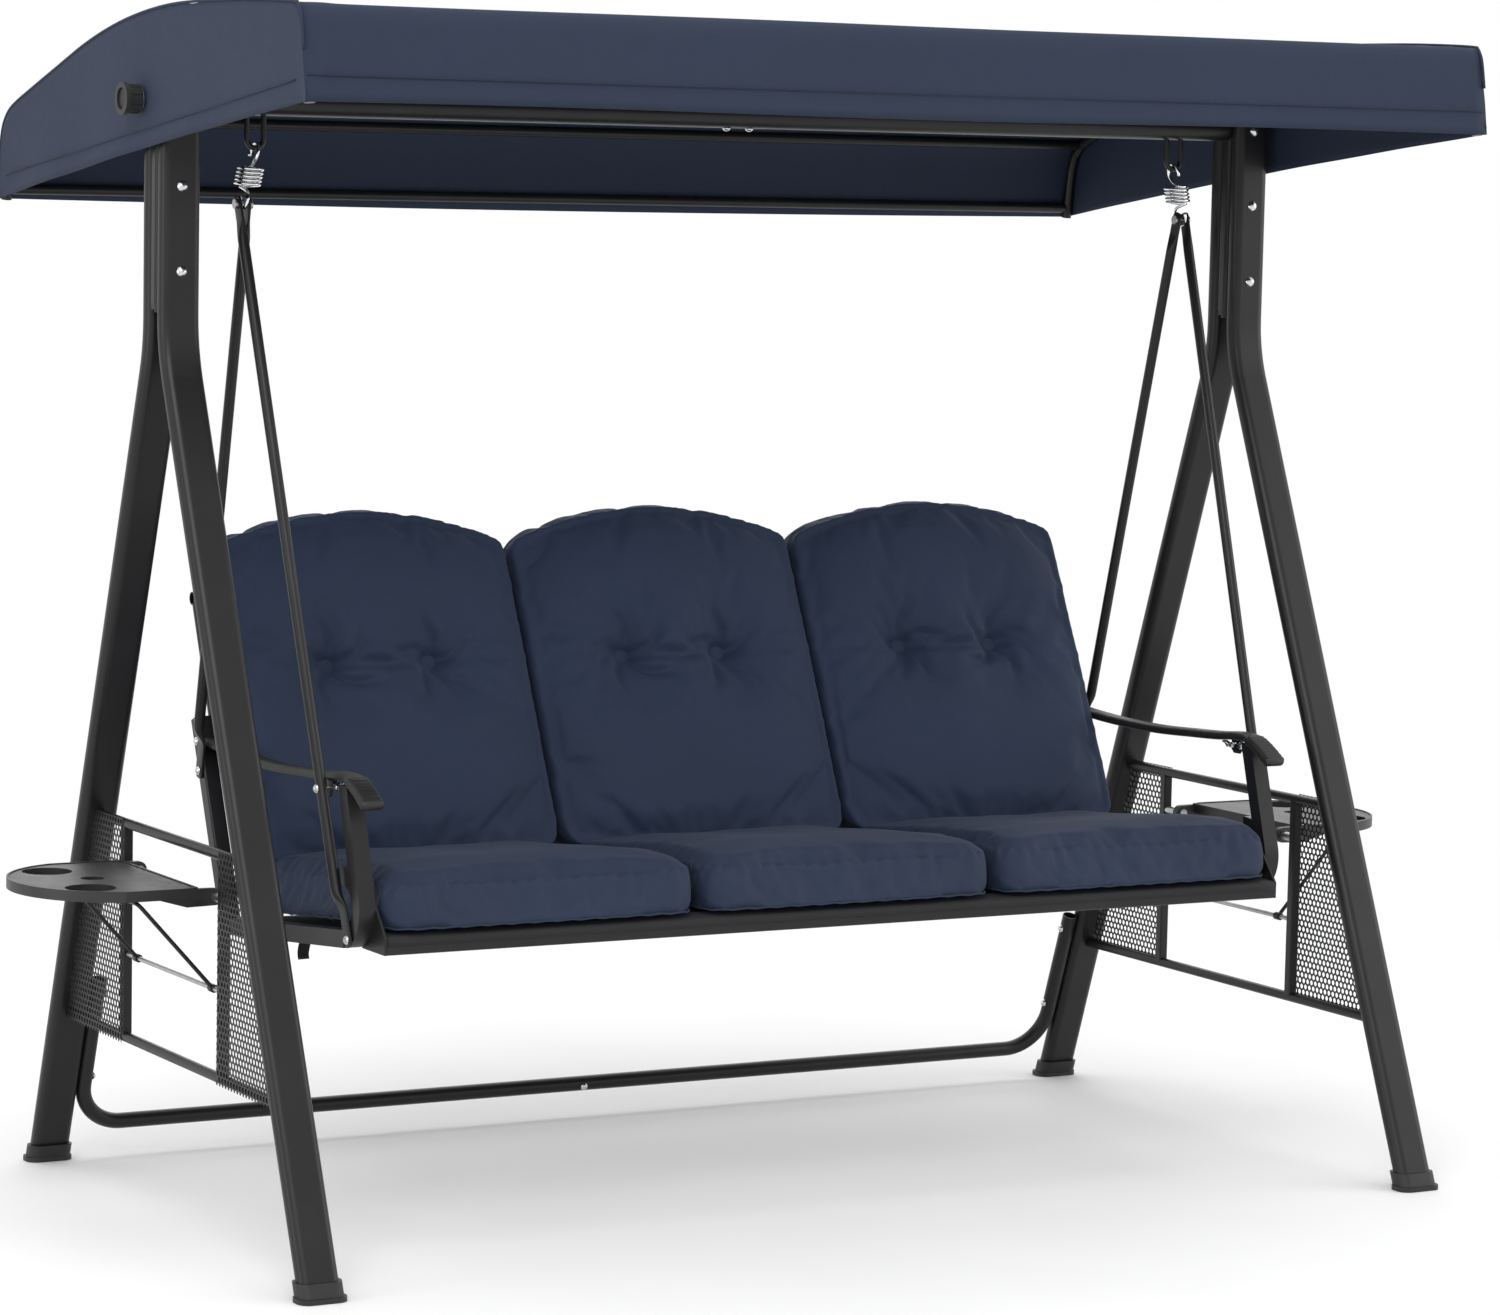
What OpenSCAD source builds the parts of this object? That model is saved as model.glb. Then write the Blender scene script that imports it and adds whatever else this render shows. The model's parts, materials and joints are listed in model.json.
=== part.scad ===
// Three-seat porch glider swing with a tilting canopy and two folding side trays.
// +X is to the right of somebody facing the swing, -Y is its front, +Z is up.
// The origin is on the floor, half way between the two A-frames, under the beam.

/* [Stand] */
// distance between the centres of the two A-frames
leg_spacing = 1830; // [1300:10:2400]
// width of the flat-oval leg tube, across the swing
leg_w = 60; // [40:1:80]
// depth of the flat-oval leg tube, front to back
leg_d = 28; // [20:1:40]
// corner radius of the leg tube
leg_r = 13; // [4:0.5:13.5]
// wall of every steel tube
wall = 1.5; // [1:0.1:3]
// height of the top of the leg tubes
post_top = 1646; // [1400:1:2000]
// distance from the top of the legs down to where they turn outwards
bend_drop = 382; // [250:1:600]
// radius of that bend
bend_r = 240; // [120:5:400]
// how far forward the front feet stand
foot_front = 558; // [400:1:700]
// how far back the rear feet stand
foot_rear = 475; // [350:1:700]
// height of the foot caps
cap_h = 26; // [15:1:50]
// wall of the foot caps
cap_t = 4; // [2:0.5:8]

/* [Beam] */
// diameter of the overhead beam
beam_d = 38; // [30:1:50]
// distance from the top of the legs down to the beam's centre line
beam_drop = 32; // [25:1:80]
// width of the centre upright held between the legs
head_w = 56; // [40:1:60]
// depth of the centre upright
head_d = 25; // [16:1:40]
// how far the centre upright reaches below the beam's centre line
head_below = 288; // [260:1:350]
// distance of each hanging loop from the centre of the A-frame beside it
loop_gap = 127; // [100:1:300]
// diameter of the hanging loop's rod
loop_d = 8; // [5:0.5:12]
// centre-line radius of the loop's round end
loop_r = 13; // [9:0.5:20]
// distance from the beam's centre line down to the loop's lowest centre line, the axis the seat swings on
loop_drop = 65; // [50:1:110]

/* [Side panels] */
// tube size of the panel rails and bars
rail_d = 15; // [10:1:25]
// height of the top rail
top_rail_z = 561; // [450:1:700]
// height of the bottom rail
low_rail_z = 244; // [150:1:350]
// place of the rear upright bar
bar_rear = 155; // [80:1:200]
// place of the front upright bar
bar_front = -214; // [-260:1:-80]
// thickness of the perforated plates
mesh_t = 1.2; // [0.8:0.1:3]

/* [Rear cross tube] */
// diameter of the rear cross tube
cross_d = 24; // [16:1:38]
// height of its level run
cross_z = 55; // [40:1:160]
// height of the top end of its risers
riser_top = 293; // [180:1:400]
// radius of its two bends
cross_bend = 70; // [40:1:150]

/* [Side trays] */
// height of the tray's pivot
tray_pivot_z = 499; // [440:1:530]
// radius of the tray's round outer edge
tray_r = 157; // [120:1:200]
// distance from the pivot to the centre of that edge
tray_reach = 88; // [60:1:120]
// distance from the pivot to the tray's straight inner edge
tray_gap = 24; // [20:1:40]
// half the length of the tray along the panel
tray_half = 150; // [110:1:160]
// thickness of the tray's top and skirt
tray_t = 3; // [2:0.5:6]
// diameter of the two cup recesses
cup_d = 72; // [55:1:90]
// depth of the cup recesses
cup_depth = 9; // [4:0.5:9.5]
// diameter of the small recess between them
dish_d = 34; // [20:1:45]
// height of the rod that the stay turns on
stay_z = 368; // [300:1:400]
// diameter of the stay's rods
stay_d = 6; // [4:0.5:8]

/* [Canopy] */
// how far the canopy reaches past the outer side of the legs
canopy_over = 20; // [18:1:60]
// thickness of the canopy's double cloth
cloth_t = 2.5; // [1:0.5:4]
// diameter of the canopy's tubes
canopy_d = 16; // [12:1:25]
// diameter of the tightening knobs
knob_d = 47; // [30:1:60]
// length of the knobs
knob_h = 26; // [12:1:40]

/* [Suspension] */
// coil diameter of the hanging springs, over the wire
spring_od = 40; // [28:1:50]
// diameter of the spring wire
spring_wire = 4.8; // [3:0.1:6]
// number of turns in the coil
spring_turns = 5; // [3:1:8]
// distance from the swing axis down to the pin that joins the hanger rods
spring_len = 80; // [76:1:130]
// diameter of that pin
pin_d = 8; // [6:0.5:12]
// diameter of the hanger rods
hanger_d = 16; // [12:0.5:25]

/* [Seat] */
// distance from the centre of each A-frame to the centre of the seat side frame beside it
seat_side_gap = 151; // [140:1:300]
// square tube of the seat frame
seat_tube = 25; // [18:1:35]
// height of the top of the seat rails at the front corner
seat_height = 470; // [380:1:560]
// slope of the seat down towards the back, in degrees
seat_tilt = 5.8; // [0:0.1:12]
// lean of the backrest, in degrees
back_lean = 22.2; // [10:0.1:35]
// height of the top of the back frame
back_top = 915; // [800:1:1100]
// how far the armrest's middle lies inside the middle of the side frame
arm_shift = 6; // [5:0.5:12]
// width of one armrest
arm_w = 34; // [25:1:60]
// thickness of one armrest
arm_t = 14; // [8:1:25]
// height of the armrest's top
arm_z = 680; // [600:1:760]
// thickness of a seat cushion
cushion_t = 76; // [40:1:120]
// thickness of a back cushion at its foot
back_t = 100; // [60:1:140]
// thickness of a back cushion near its top
back_top_t = 66; // [40:1:120]
// how much lower the top corners of a back cushion are than its middle
back_arch = 47; // [20:1:80]
// gap between neighbouring cushions
cushion_gap = 4; // [2:0.5:10]

/* [Fasteners and fits] */
// shank diameter of the frame bolts
bolt_d = 8; // [6:0.5:10]
// shank diameter of the seat and panel bolts
small_bolt_d = 6; // [4:0.5:8]
// radial clearance of a bolt in its hole
bolt_fit = 0.2; // [0.1:0.05:0.5]
// radial clearance of a turning pin in its hole
run_fit = 0.06; // [0.02:0.01:0.1]
// gap left between pieces that move past each other
gap = 0.5; // [0.3:0.1:2]

/* [Hidden] */
$fn = 64;
e = 0.01;

leg_x = leg_spacing / 2;
bend_z = post_top - bend_drop;
beam_z = post_top - beam_drop;
head_bottom = beam_z - head_below;
loop_x = leg_x - loop_gap;
loop_z = beam_z - loop_drop;
pin_z = loop_z - spring_len;
canopy_w = 2 * (leg_x + leg_w / 2 + canopy_over);
seat_spacing = 2 * (leg_x - seat_side_gap);
leg_y = head_d / 2 + leg_d / 2;
front_a = atan((foot_front - leg_y) / bend_z);
rear_a = atan((foot_rear - leg_y) / bend_z);
post_bolts_z = [beam_z - 2, beam_z - 121, beam_z - 241];

function front_y(z) = -(leg_y + (bend_z - z) * tan(front_a));
function rear_y(z) = leg_y + (bend_z - z) * tan(rear_a);

// the canopy's side outline, as front-to-back place and height above the beam, front hem to rear hem
canopy_outline = [
    [-579, -5], [-566, 76], [-559, 108], [-552, 119], [-540, 125], [-420, 130],
    [-300, 132], [-200, 132], [-100, 129], [0, 120], [100, 105], [210, 81],
    [330, 47], [430, 18], [500, -3], [533, -17], [555, -37], [566, -64],
    [571, -94], [579, -147]
];
canopy_pts = [for (p = canopy_outline) [p[0], beam_z + p[1]]];
hem_rise = 16;
arm_x = canopy_w / 2 - cloth_t - 1.5 - canopy_d / 2;
plate_t = 5;
washer_t = 5;
leg_out = leg_x + leg_w / 2;

function unit(v) = v / norm(v);
function turn(v) = [v[1], -v[0]];
// the outline moved inwards by d, point by point
function along(a, b, d) = a + d * unit(b - a);
function inset(p, d) = [
    for (i = [0 : len(p) - 1])
        let (a = p[max(i - 1, 0)], b = p[min(i + 1, len(p) - 1)])
        p[i] + d * turn(unit(b - a))
];

tray_y = (bar_rear + bar_front) / 2 - 3;
ear_in = tray_half - 12;
ear_out = tray_half - 2;
stay_x = 113;
stay_rise = tray_pivot_z - stay_z - stay_d / 2 - gap - 2;
tray_top = tray_pivot_z + 13;

seat_x = seat_spacing / 2;
side_in = seat_x - seat_tube / 2;
side_out = seat_x + seat_tube / 2;
seat_w = 2 * side_in - 7;
cushion_side_gap = 1;
corner_y = -367;
corner_z = seat_height - seat_tube / 2 - 1.8;
up_lean = 16.7;
rear_corner_y = 119;
rear_corner_z = corner_z - (rear_corner_y - corner_y) * tan(seat_tilt);
front_tube_y = -385;
front_tube_z = seat_height - 8 - seat_tube / 2;
gusset_t = 3.5;
arm_under = arm_z - arm_t;
arm_in = seat_x - arm_shift - arm_w / 2;
cushion_w = (seat_w - 2 * cushion_gap - 2) / 3;
tab_t = 4;
pin_x = loop_x + 18;
hang_top = [pin_x, 0, pin_z];

function rail_z(y) = corner_z - (y - corner_y) * tan(seat_tilt);
function seat_top(y) = rail_z(y) + seat_tube / 2 / cos(seat_tilt);
function post_y(z) = rear_corner_y + (z - rear_corner_z) * tan(back_lean);
function up_y(z) = corner_y + (z - corner_z) * tan(up_lean);

// where the hanger rods are bolted: across, front-to-back, height
front_low = [side_out, -334, rail_z(-334)];
rear_low = [side_out, post_y(627), 627];

function hang_y(low, z) = low[1] * (pin_z - z) / (pin_z - low[2]);
arm_bolt_z = arm_under - 8;

// ---------- small helpers ----------

module both() {
    children();
    mirror([1, 0, 0]) children();
}

module rrect(w, d, r) {
    square([w - 2 * r, d], center = true);
    square([w, d - 2 * r], center = true);
    for (sx = [-1, 1], sy = [-1, 1])
        translate([sx * (w / 2 - r), sy * (d / 2 - r)])
            circle(r = r);
}

module oval_tube_2d(t) {
    difference() {
        rrect(leg_w, leg_d, leg_r);
        rrect(leg_w - 2 * t, leg_d - 2 * t, leg_r - t);
    }
}

module rod(p, q, d) {
    v = q - p;
    translate(p)
        rotate([0, acos(v[2] / norm(v)), atan2(v[1], v[0])])
            cylinder(d = d, h = norm(v));
}

module pipe(p, q, d, t) {
    v = q - p;
    translate(p)
        rotate([0, acos(v[2] / norm(v)), atan2(v[1], v[0])])
            difference() {
                cylinder(d = d, h = norm(v));
                translate([0, 0, -1]) cylinder(d = d - 2 * t, h = norm(v) + 2);
            }
}

// a cylinder along X between two places
module x_cyl(x0, x1, y, z, d) {
    translate([x0, y, z]) rotate([0, 90, 0]) cylinder(d = d, h = x1 - x0);
}

// a cylinder along Y between two places
module y_cyl(x, y0, y1, z, d) {
    translate([x, y0, z]) rotate([-90, 0, 0]) cylinder(d = d, h = y1 - y0);
}

// a low round bolt head, its flat side at z = 0
module dome_head(d, h) {
    intersection() {
        cylinder(d = d, h = h);
        translate([0, 0, h - (d * d / 4 + h * h) / (2 * h)])
            sphere(r = (d * d / 4 + h * h) / (2 * h));
    }
}

module hex_nut(d, h) {
    difference() {
        cylinder(d = d, h = h, $fn = 6);
        translate([0, 0, -1]) cylinder(d = d * 0.5, h = h + 2);
    }
}

// ---------- stand ----------

// lower, sloping part of a leg in its own frame: origin at the bend, running down -Z
module leg_profile_run(len_mm, t) {
    translate([0, 0, -len_mm]) linear_extrude(len_mm) {
        if (t > 0) oval_tube_2d(t);
        else rrect(leg_w, leg_d, leg_r);
    }
}

// one front leg with its foot forward; t = 0 gives the solid outline
module leg_shape(a, t) {
    tan_len = bend_r * tan(a / 2);
    z1 = bend_z + tan_len;
    difference() {
        union() {
            translate([0, 0, z1]) linear_extrude(post_top - z1) {
                if (t > 0) oval_tube_2d(t);
                else rrect(leg_w, leg_d, leg_r);
            }
            translate([0, -bend_r, z1])
                multmatrix([[0, 0, -1, 0], [1, 0, 0, 0], [0, -1, 0, 0]])
                    rotate_extrude(angle = a)
                        translate([bend_r, 0]) rotate(90) {
                            if (t > 0) oval_tube_2d(t);
                            else rrect(leg_w, leg_d, leg_r);
                        }
            translate([0, 0, bend_z]) rotate([-a, 0, 0])
                translate([0, 0, -tan_len])
                    leg_profile_run((bend_z + 30) / cos(a) - tan_len, t);
        }
        translate([-leg_w, -2 * bend_z, -200]) cube([2 * leg_w, 4 * bend_z, 204]);
    }
}

module post_bolt_holes(x) {
    for (z = post_bolts_z)
        y_cyl(x, -leg_y - leg_d, leg_y + leg_d, z, bolt_d + 2 * bolt_fit);
}

module riser_bolt_places() {
    for (z = [270, 135])
        translate([0, rear_y(z), z]) children();
}

module front_leg(s) {
    color([0.16, 0.16, 0.17])
        difference() {
            translate([s * leg_x, -leg_y, 0]) leg_shape(front_a, wall);
            post_bolt_holes(s * leg_x);
        }
}

module rear_leg(s) {
    color([0.16, 0.16, 0.17])
        difference() {
            translate([s * leg_x, leg_y, 0]) mirror([0, 1, 0]) leg_shape(rear_a, wall);
            post_bolt_holes(s * leg_x);
            riser_bolt_places()
                x_cyl(s > 0 ? leg_x - leg_w : -leg_x, s > 0 ? leg_x : leg_w - leg_x, 0, 0,
                    small_bolt_d + 2 * bolt_fit);
        }
}

module front_leg_left() { front_leg(-1); }
module front_leg_right() { front_leg(1); }
module rear_leg_left() { rear_leg(-1); }
module rear_leg_right() { rear_leg(1); }

// a cap for a foot that slopes forward by angle a, at its own origin
module foot_cap(a) {
    w = leg_w + 2 * cap_t;
    d = leg_d / cos(a) + 2 * cap_t;
    difference() {
        union() {
            linear_extrude(7) rrect(w + 5, d + 5, leg_r + cap_t);
            intersection() {
                rotate([-a, 0, 0]) translate([0, 0, -40])
                    linear_extrude(100) rrect(w, d - 1, leg_r + cap_t - 1);
                translate([-w, -w, 0]) cube([2 * w, 2 * w, cap_h]);
            }
        }
        intersection() {
            rotate([-a, 0, 0]) translate([0, 0, -40])
                linear_extrude(200) rrect(leg_w, leg_d, leg_r);
            translate([-w, -w, 4]) cube([2 * w, 2 * w, 200]);
        }
    }
}

module foot_caps() {
    color([0.10, 0.10, 0.10])
        both() {
            translate([leg_x, front_y(0), 0]) foot_cap(front_a);
            translate([leg_x, rear_y(0), 0]) mirror([0, 1, 0]) foot_cap(rear_a);
        }
}

module head_post(s) {
    color([0.16, 0.16, 0.17])
        difference() {
            translate([s * leg_x, 0, head_bottom])
                linear_extrude(post_top - 6 - head_bottom)
                    difference() {
                        rrect(head_w, head_d, 8);
                        rrect(head_w - 2 * wall, head_d - 2 * wall, 8 - wall);
                    }
            post_bolt_holes(s * leg_x);
            // the tilt knob's stud goes in from the outer side
            x_cyl(s > 0 ? leg_x : -leg_x - head_w, s > 0 ? leg_x + head_w : -leg_x, 0, beam_z,
                bolt_d + 2 * run_fit);
        }
}

module head_post_left() { head_post(-1); }
module head_post_right() { head_post(1); }

module post_plugs() {
    color([0.10, 0.10, 0.10])
        both()
            translate([leg_x, 0, head_bottom]) {
                translate([0, 0, -8]) linear_extrude(8) rrect(head_w - 1, head_d - 1, 7);
                translate([0, 0, -12]) linear_extrude(4) rrect(head_w - 8, head_d - 8, 6);
                linear_extrude(18) rrect(head_w - 2 * wall, head_d - 2 * wall, 8 - wall);
            }
}

beam_seam = -30;
beam_bolts_x = [-21, 18];

module beam_half(x0, x1) {
    color([0.16, 0.16, 0.17])
        difference() {
            x_cyl(x0, x1, 0, beam_z, beam_d);
            x_cyl(x0 - 1, x1 + 1, 0, beam_z, beam_d - 2 * wall);
            for (x = beam_bolts_x)
                translate([x, 0, beam_z - beam_d])
                    cylinder(d = small_bolt_d + 2 * bolt_fit, h = 2 * beam_d);
        }
}

module beam_left() { beam_half(-leg_x + head_w / 2, beam_seam); }
module beam_right() { beam_half(beam_seam, leg_x - head_w / 2); }

module beam_sleeve() {
    color([0.55, 0.55, 0.56])
        difference() {
            x_cyl(-110, 110, 0, beam_z, beam_d - 2 * wall);
            x_cyl(-111, 111, 0, beam_z, beam_d - 4 * wall);
            for (x = beam_bolts_x)
                translate([x, 0, beam_z - beam_d])
                    cylinder(d = small_bolt_d + 2 * bolt_fit, h = 2 * beam_d);
        }
}

module beam_bolts() {
    color([0.75, 0.75, 0.76])
        for (x = beam_bolts_x)
            translate([x, 0, beam_z]) {
                translate([0, 0, -beam_d / 2 - 1]) cylinder(d = small_bolt_d, h = beam_d + 8);
                translate([0, 0, -beam_d / 2 - 0.2]) rotate([180, 0, 0]) dome_head(13, 4.5);
                translate([0, 0, beam_d / 2 + 0.2]) hex_nut(11, 5);
            }
}

module beam_loops() {
    bend_at = loop_z + loop_r;
    color([0.14, 0.14, 0.15])
        both()
            difference() {
                translate([loop_x, 0, 0]) {
                    for (s = [-1, 1])
                        translate([s * loop_r, 0, bend_at])
                            cylinder(d = loop_d, h = beam_z - beam_d / 2 - bend_at + 6);
                    translate([0, 0, bend_at]) rotate([90, 0, 0]) rotate([0, 0, 180])
                        rotate_extrude(angle = 180) translate([loop_r, 0]) circle(d = loop_d);
                }
                x_cyl(loop_x - 60, loop_x + 60, 0, beam_z, beam_d);
            }
}

module post_bolts() {
    reach = leg_y + leg_d / 2;
    color([0.80, 0.80, 0.81])
        both()
            for (z = post_bolts_z) {
                y_cyl(leg_x, -reach - 1, reach + 9, z, bolt_d);
                translate([leg_x, -reach - 0.2, z]) rotate([90, 0, 0]) dome_head(16, 5);
                translate([leg_x, reach + 0.2, z]) rotate([-90, 0, 0]) hex_nut(14, 6.5);
            }
}

// ---------- rear cross tube ----------

riser_x = leg_x - leg_w / 2 - cross_d / 2;
cross_seam = -34;

module cross_frame(s) {
    translate([0, rear_y(cross_z), cross_z]) rotate([rear_a, 0, 0]) scale([s, 1, 1]) children();
}

module cross_half(s) {
    seam = s > 0 ? cross_seam : -cross_seam;
    up = (riser_top - cross_z) / cos(rear_a);
    color([0.16, 0.16, 0.17])
        difference() {
            translate([0, rear_y(cross_z), cross_z]) rotate([rear_a, 0, 0])
                mirror([s > 0 ? 0 : 1, 0, 0]) {
                    pipe([seam, 0, 0], [riser_x - cross_bend, 0, 0], cross_d, wall);
                    pipe([riser_x, 0, cross_bend], [riser_x, 0, up], cross_d, wall);
                    translate([riser_x - cross_bend, 0, cross_bend])
                        rotate([90, 0, 0]) rotate([0, 0, -90])
                            rotate_extrude(angle = 90) translate([cross_bend, 0])
                                difference() {
                                    circle(d = cross_d);
                                    circle(d = cross_d - 2 * wall);
                                }
                }
            riser_bolt_places()
                x_cyl(s > 0 ? leg_x - 120 : -leg_x, s > 0 ? leg_x : 120 - leg_x, 0, 0,
                    small_bolt_d + 2 * bolt_fit);
            translate([cross_seam + 28, rear_y(cross_z), cross_z]) rotate([rear_a + 90, 0, 0])
                translate([0, 0, -cross_d]) cylinder(d = small_bolt_d + 2 * bolt_fit, h = 2 * cross_d);
        }
}

module cross_tube_left() { cross_half(-1); }
module cross_tube_right() { cross_half(1); }

module cross_bolts() {
    color([0.80, 0.80, 0.81]) {
        both()
            riser_bolt_places() {
                x_cyl(riser_x - cross_d / 2 - 1, leg_x - leg_w / 2 + 12, 0, 0, small_bolt_d);
                translate([riser_x - cross_d / 2 - 0.2, 0, 0]) rotate([0, -90, 0]) dome_head(13, 5);
            }
        translate([cross_seam + 28, rear_y(cross_z), cross_z]) rotate([rear_a + 90, 0, 0]) {
            translate([0, 0, -cross_d / 2 - 6]) cylinder(d = small_bolt_d, h = cross_d + 7);
            translate([0, 0, cross_d / 2 + 0.2]) dome_head(12, 4);
        }
    }
}

// the short sleeve that joins the two halves of the cross tube
module cross_sleeve() {
    color([0.55, 0.55, 0.56])
        difference() {
            translate([cross_seam, rear_y(cross_z), cross_z]) rotate([rear_a, 0, 0])
                pipe([-70, 0, 0], [70, 0, 0], cross_d - 2 * wall, wall);
            translate([cross_seam + 28, rear_y(cross_z), cross_z]) rotate([rear_a + 90, 0, 0])
                translate([0, 0, -cross_d]) cylinder(d = small_bolt_d + 2 * bolt_fit, h = 2 * cross_d);
        }
}

// ---------- side panels ----------

module leg_outlines() {
    translate([leg_x, -leg_y, 0]) leg_shape(front_a, 0);
    translate([leg_x, leg_y, 0]) mirror([0, 1, 0]) leg_shape(rear_a, 0);
}

module panel_rails() {
    color([0.18, 0.18, 0.19])
        for (z = [top_rail_z, low_rail_z])
            difference() {
                y_cyl(leg_x, front_y(z), rear_y(z), z, rail_d);
                y_cyl(leg_x, front_y(z) - 1, rear_y(z) + 1, z, rail_d - 2 * wall);
                leg_outlines();
            }
}

module panel_bars() {
    color([0.18, 0.18, 0.19])
        for (y = [bar_front, bar_rear])
            difference() {
                translate([leg_x, y, low_rail_z])
                    linear_extrude(top_rail_z - low_rail_z)
                        difference() {
                            rrect(rail_d, rail_d, 2.5);
                            rrect(rail_d - 2 * wall, rail_d - 2 * wall, 1);
                        }
                for (z = [top_rail_z, low_rail_z])
                    y_cyl(leg_x, y - 40, y + 40, z, rail_d);
            }
}

// the perforated plates lie on the outer side of the rails and bars
module panel_plates() {
    over = rail_d / 2;
    z0 = low_rail_z - over;
    z1 = top_rail_z + over;
    x0 = leg_x + rail_d / 2;
    color([0.22, 0.22, 0.23])
        difference() {
            for (f = [0, 1])
                translate([x0, 0, 0])
                    multmatrix([[0, 0, 1, 0], [1, 0, 0, 0], [0, 1, 0, 0]])
                        linear_extrude(mesh_t)
                            polygon(f == 0
                                ? [[bar_front + 4, z0], [bar_front + 4, z1],
                                   [front_y(z1), z1], [front_y(z0), z0]]
                                : [[bar_rear - 4, z0], [bar_rear - 4, z1],
                                   [rear_y(z1), z1], [rear_y(z0), z0]]);
            leg_outlines();
        }
}

module panel_rails_left() { mirror([1, 0, 0]) panel_rails(); }
module panel_rails_right() { panel_rails(); }
module panel_bars_left() { mirror([1, 0, 0]) panel_bars(); }
module panel_bars_right() { panel_bars(); }
module panel_plates_left() { mirror([1, 0, 0]) panel_plates(); }
module panel_plates_right() { panel_plates(); }

// ---------- side trays ----------

module tray_outline(shrink) {
    intersection() {
        translate([leg_x + tray_reach, tray_y]) circle(r = tray_r - shrink, $fn = 128);
        translate([leg_x + tray_gap + shrink, tray_y - tray_half + shrink])
            square([tray_r * 2, 2 * (tray_half - shrink)]);
    }
}

module tray_wells(d_cup, d_dish) {
    for (s = [-1, 1])
        translate([leg_x + tray_reach + 74 - (157 - tray_r), tray_y + s * (tray_half - 64)])
            circle(d = d_cup);
    translate([leg_x + tray_reach + 38 - (157 - tray_r), tray_y]) circle(d = d_dish);
}

module tray() {
    skirt = 14;
    color([0.20, 0.20, 0.21])
        difference() {
            union() {
                translate([0, 0, tray_top - tray_t]) linear_extrude(tray_t) tray_outline(0);
                // raised lip and skirt round the edge
                translate([0, 0, tray_top - skirt]) linear_extrude(skirt + 1.5)
                    difference() {
                        tray_outline(0);
                        tray_outline(tray_t);
                    }
                // wells under the recesses
                translate([0, 0, tray_top - cup_depth - 2]) linear_extrude(cup_depth)
                    tray_wells(cup_d + 4, dish_d + 4);
                // the two ears and the deep cheeks beside them
                for (s = [-1, 1])
                    translate([0, tray_y + (s > 0 ? ear_in : -ear_out), 0])
                        multmatrix([[1, 0, 0, 0], [0, 0, 1, 0], [0, 1, 0, 0]])
                            linear_extrude(ear_out - ear_in) {
                                translate([leg_x, tray_pivot_z]) circle(r = 12);
                                polygon([
                                    [leg_x, tray_pivot_z - 12], [leg_x + 42, tray_top - 26],
                                    [leg_x + 84, tray_top - skirt], [leg_x + 84, tray_top - 1],
                                    [leg_x + 24, tray_top - 0.5], [leg_x, tray_pivot_z + 12]
                                ]);
                            }
            }
            translate([0, 0, tray_top - cup_depth]) linear_extrude(cup_depth + 5)
                tray_wells(cup_d, dish_d);
            for (s = [-1, 1])
                y_cyl(leg_x, tray_y - tray_half, tray_y + tray_half, tray_pivot_z,
                    small_bolt_d + 2 + 2 * run_fit);
        }
}

module tray_left() { mirror([1, 0, 0]) tray(); }
module tray_right() { tray(); }

// pivot pins from the bars into the tray's ears, with a spacer and an inner head
module tray_pins() {
    d = small_bolt_d + 2;
    color([0.30, 0.30, 0.31])
        both() {
            difference() {
                union() {
                    y_cyl(leg_x, tray_y + ear_in - 3, bar_rear - rail_d / 2, tray_pivot_z, d);
                    y_cyl(leg_x, tray_y + ear_out + gap, bar_rear - rail_d / 2, tray_pivot_z, d + 5);
                    y_cyl(leg_x, tray_y + ear_in - gap - 4, tray_y + ear_in - gap, tray_pivot_z, d + 5);
                }
            }
            union() {
                y_cyl(leg_x, bar_front + rail_d / 2, tray_y - ear_in + 3, tray_pivot_z, d);
                y_cyl(leg_x, bar_front + rail_d / 2, tray_y - ear_out - gap, tray_pivot_z, d + 5);
                y_cyl(leg_x, tray_y - ear_in + gap, tray_y - ear_in + gap + 4, tray_pivot_z, d + 5);
            }
        }
}

stay_y = ear_in + 4;

// level rods between the bars; each stay turns on one of them
module stay_rods() {
    color([0.45, 0.45, 0.46])
        both()
            y_cyl(leg_x, bar_front + rail_d / 2, bar_rear - rail_d / 2, stay_z, stay_d + 1);
}

module stay() {
    lean = atan2(stay_x, stay_rise);
    l = norm([stay_x, stay_rise]);
    r = 9;
    color([0.14, 0.14, 0.15])
        difference() {
            translate([leg_x, tray_y, stay_z]) rotate([0, lean, 0]) {
                for (s = [-1, 1]) {
                    translate([0, s * stay_y, 2]) cylinder(d = stay_d, h = l - r - 2);
                    translate([0, s * (stay_y - r), l - r])
                        rotate([90, 0, 90]) rotate([0, 0, s > 0 ? 0 : 90])
                            rotate_extrude(angle = 90) translate([r, 0]) circle(d = stay_d);
                    translate([0, s * stay_y - 6, 0]) rotate([-90, 0, 0])
                        cylinder(d = stay_d + 6, h = 12);
                }
                translate([0, r - stay_y, l]) rotate([-90, 0, 0])
                    cylinder(d = stay_d, h = 2 * (stay_y - r));
            }
            y_cyl(leg_x, tray_y - 2 * stay_y, tray_y + 2 * stay_y, stay_z,
                stay_d + 1 + 2 * run_fit);
        }
}

module stay_left() { mirror([1, 0, 0]) stay(); }
module stay_right() { stay(); }

// ---------- canopy ----------

module yz_extrude(x0, x1) {
    translate([x0, 0, 0])
        multmatrix([[0, 0, 1, 0], [1, 0, 0, 0], [0, 1, 0, 0]])
            linear_extrude(x1 - x0) children();
}

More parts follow.
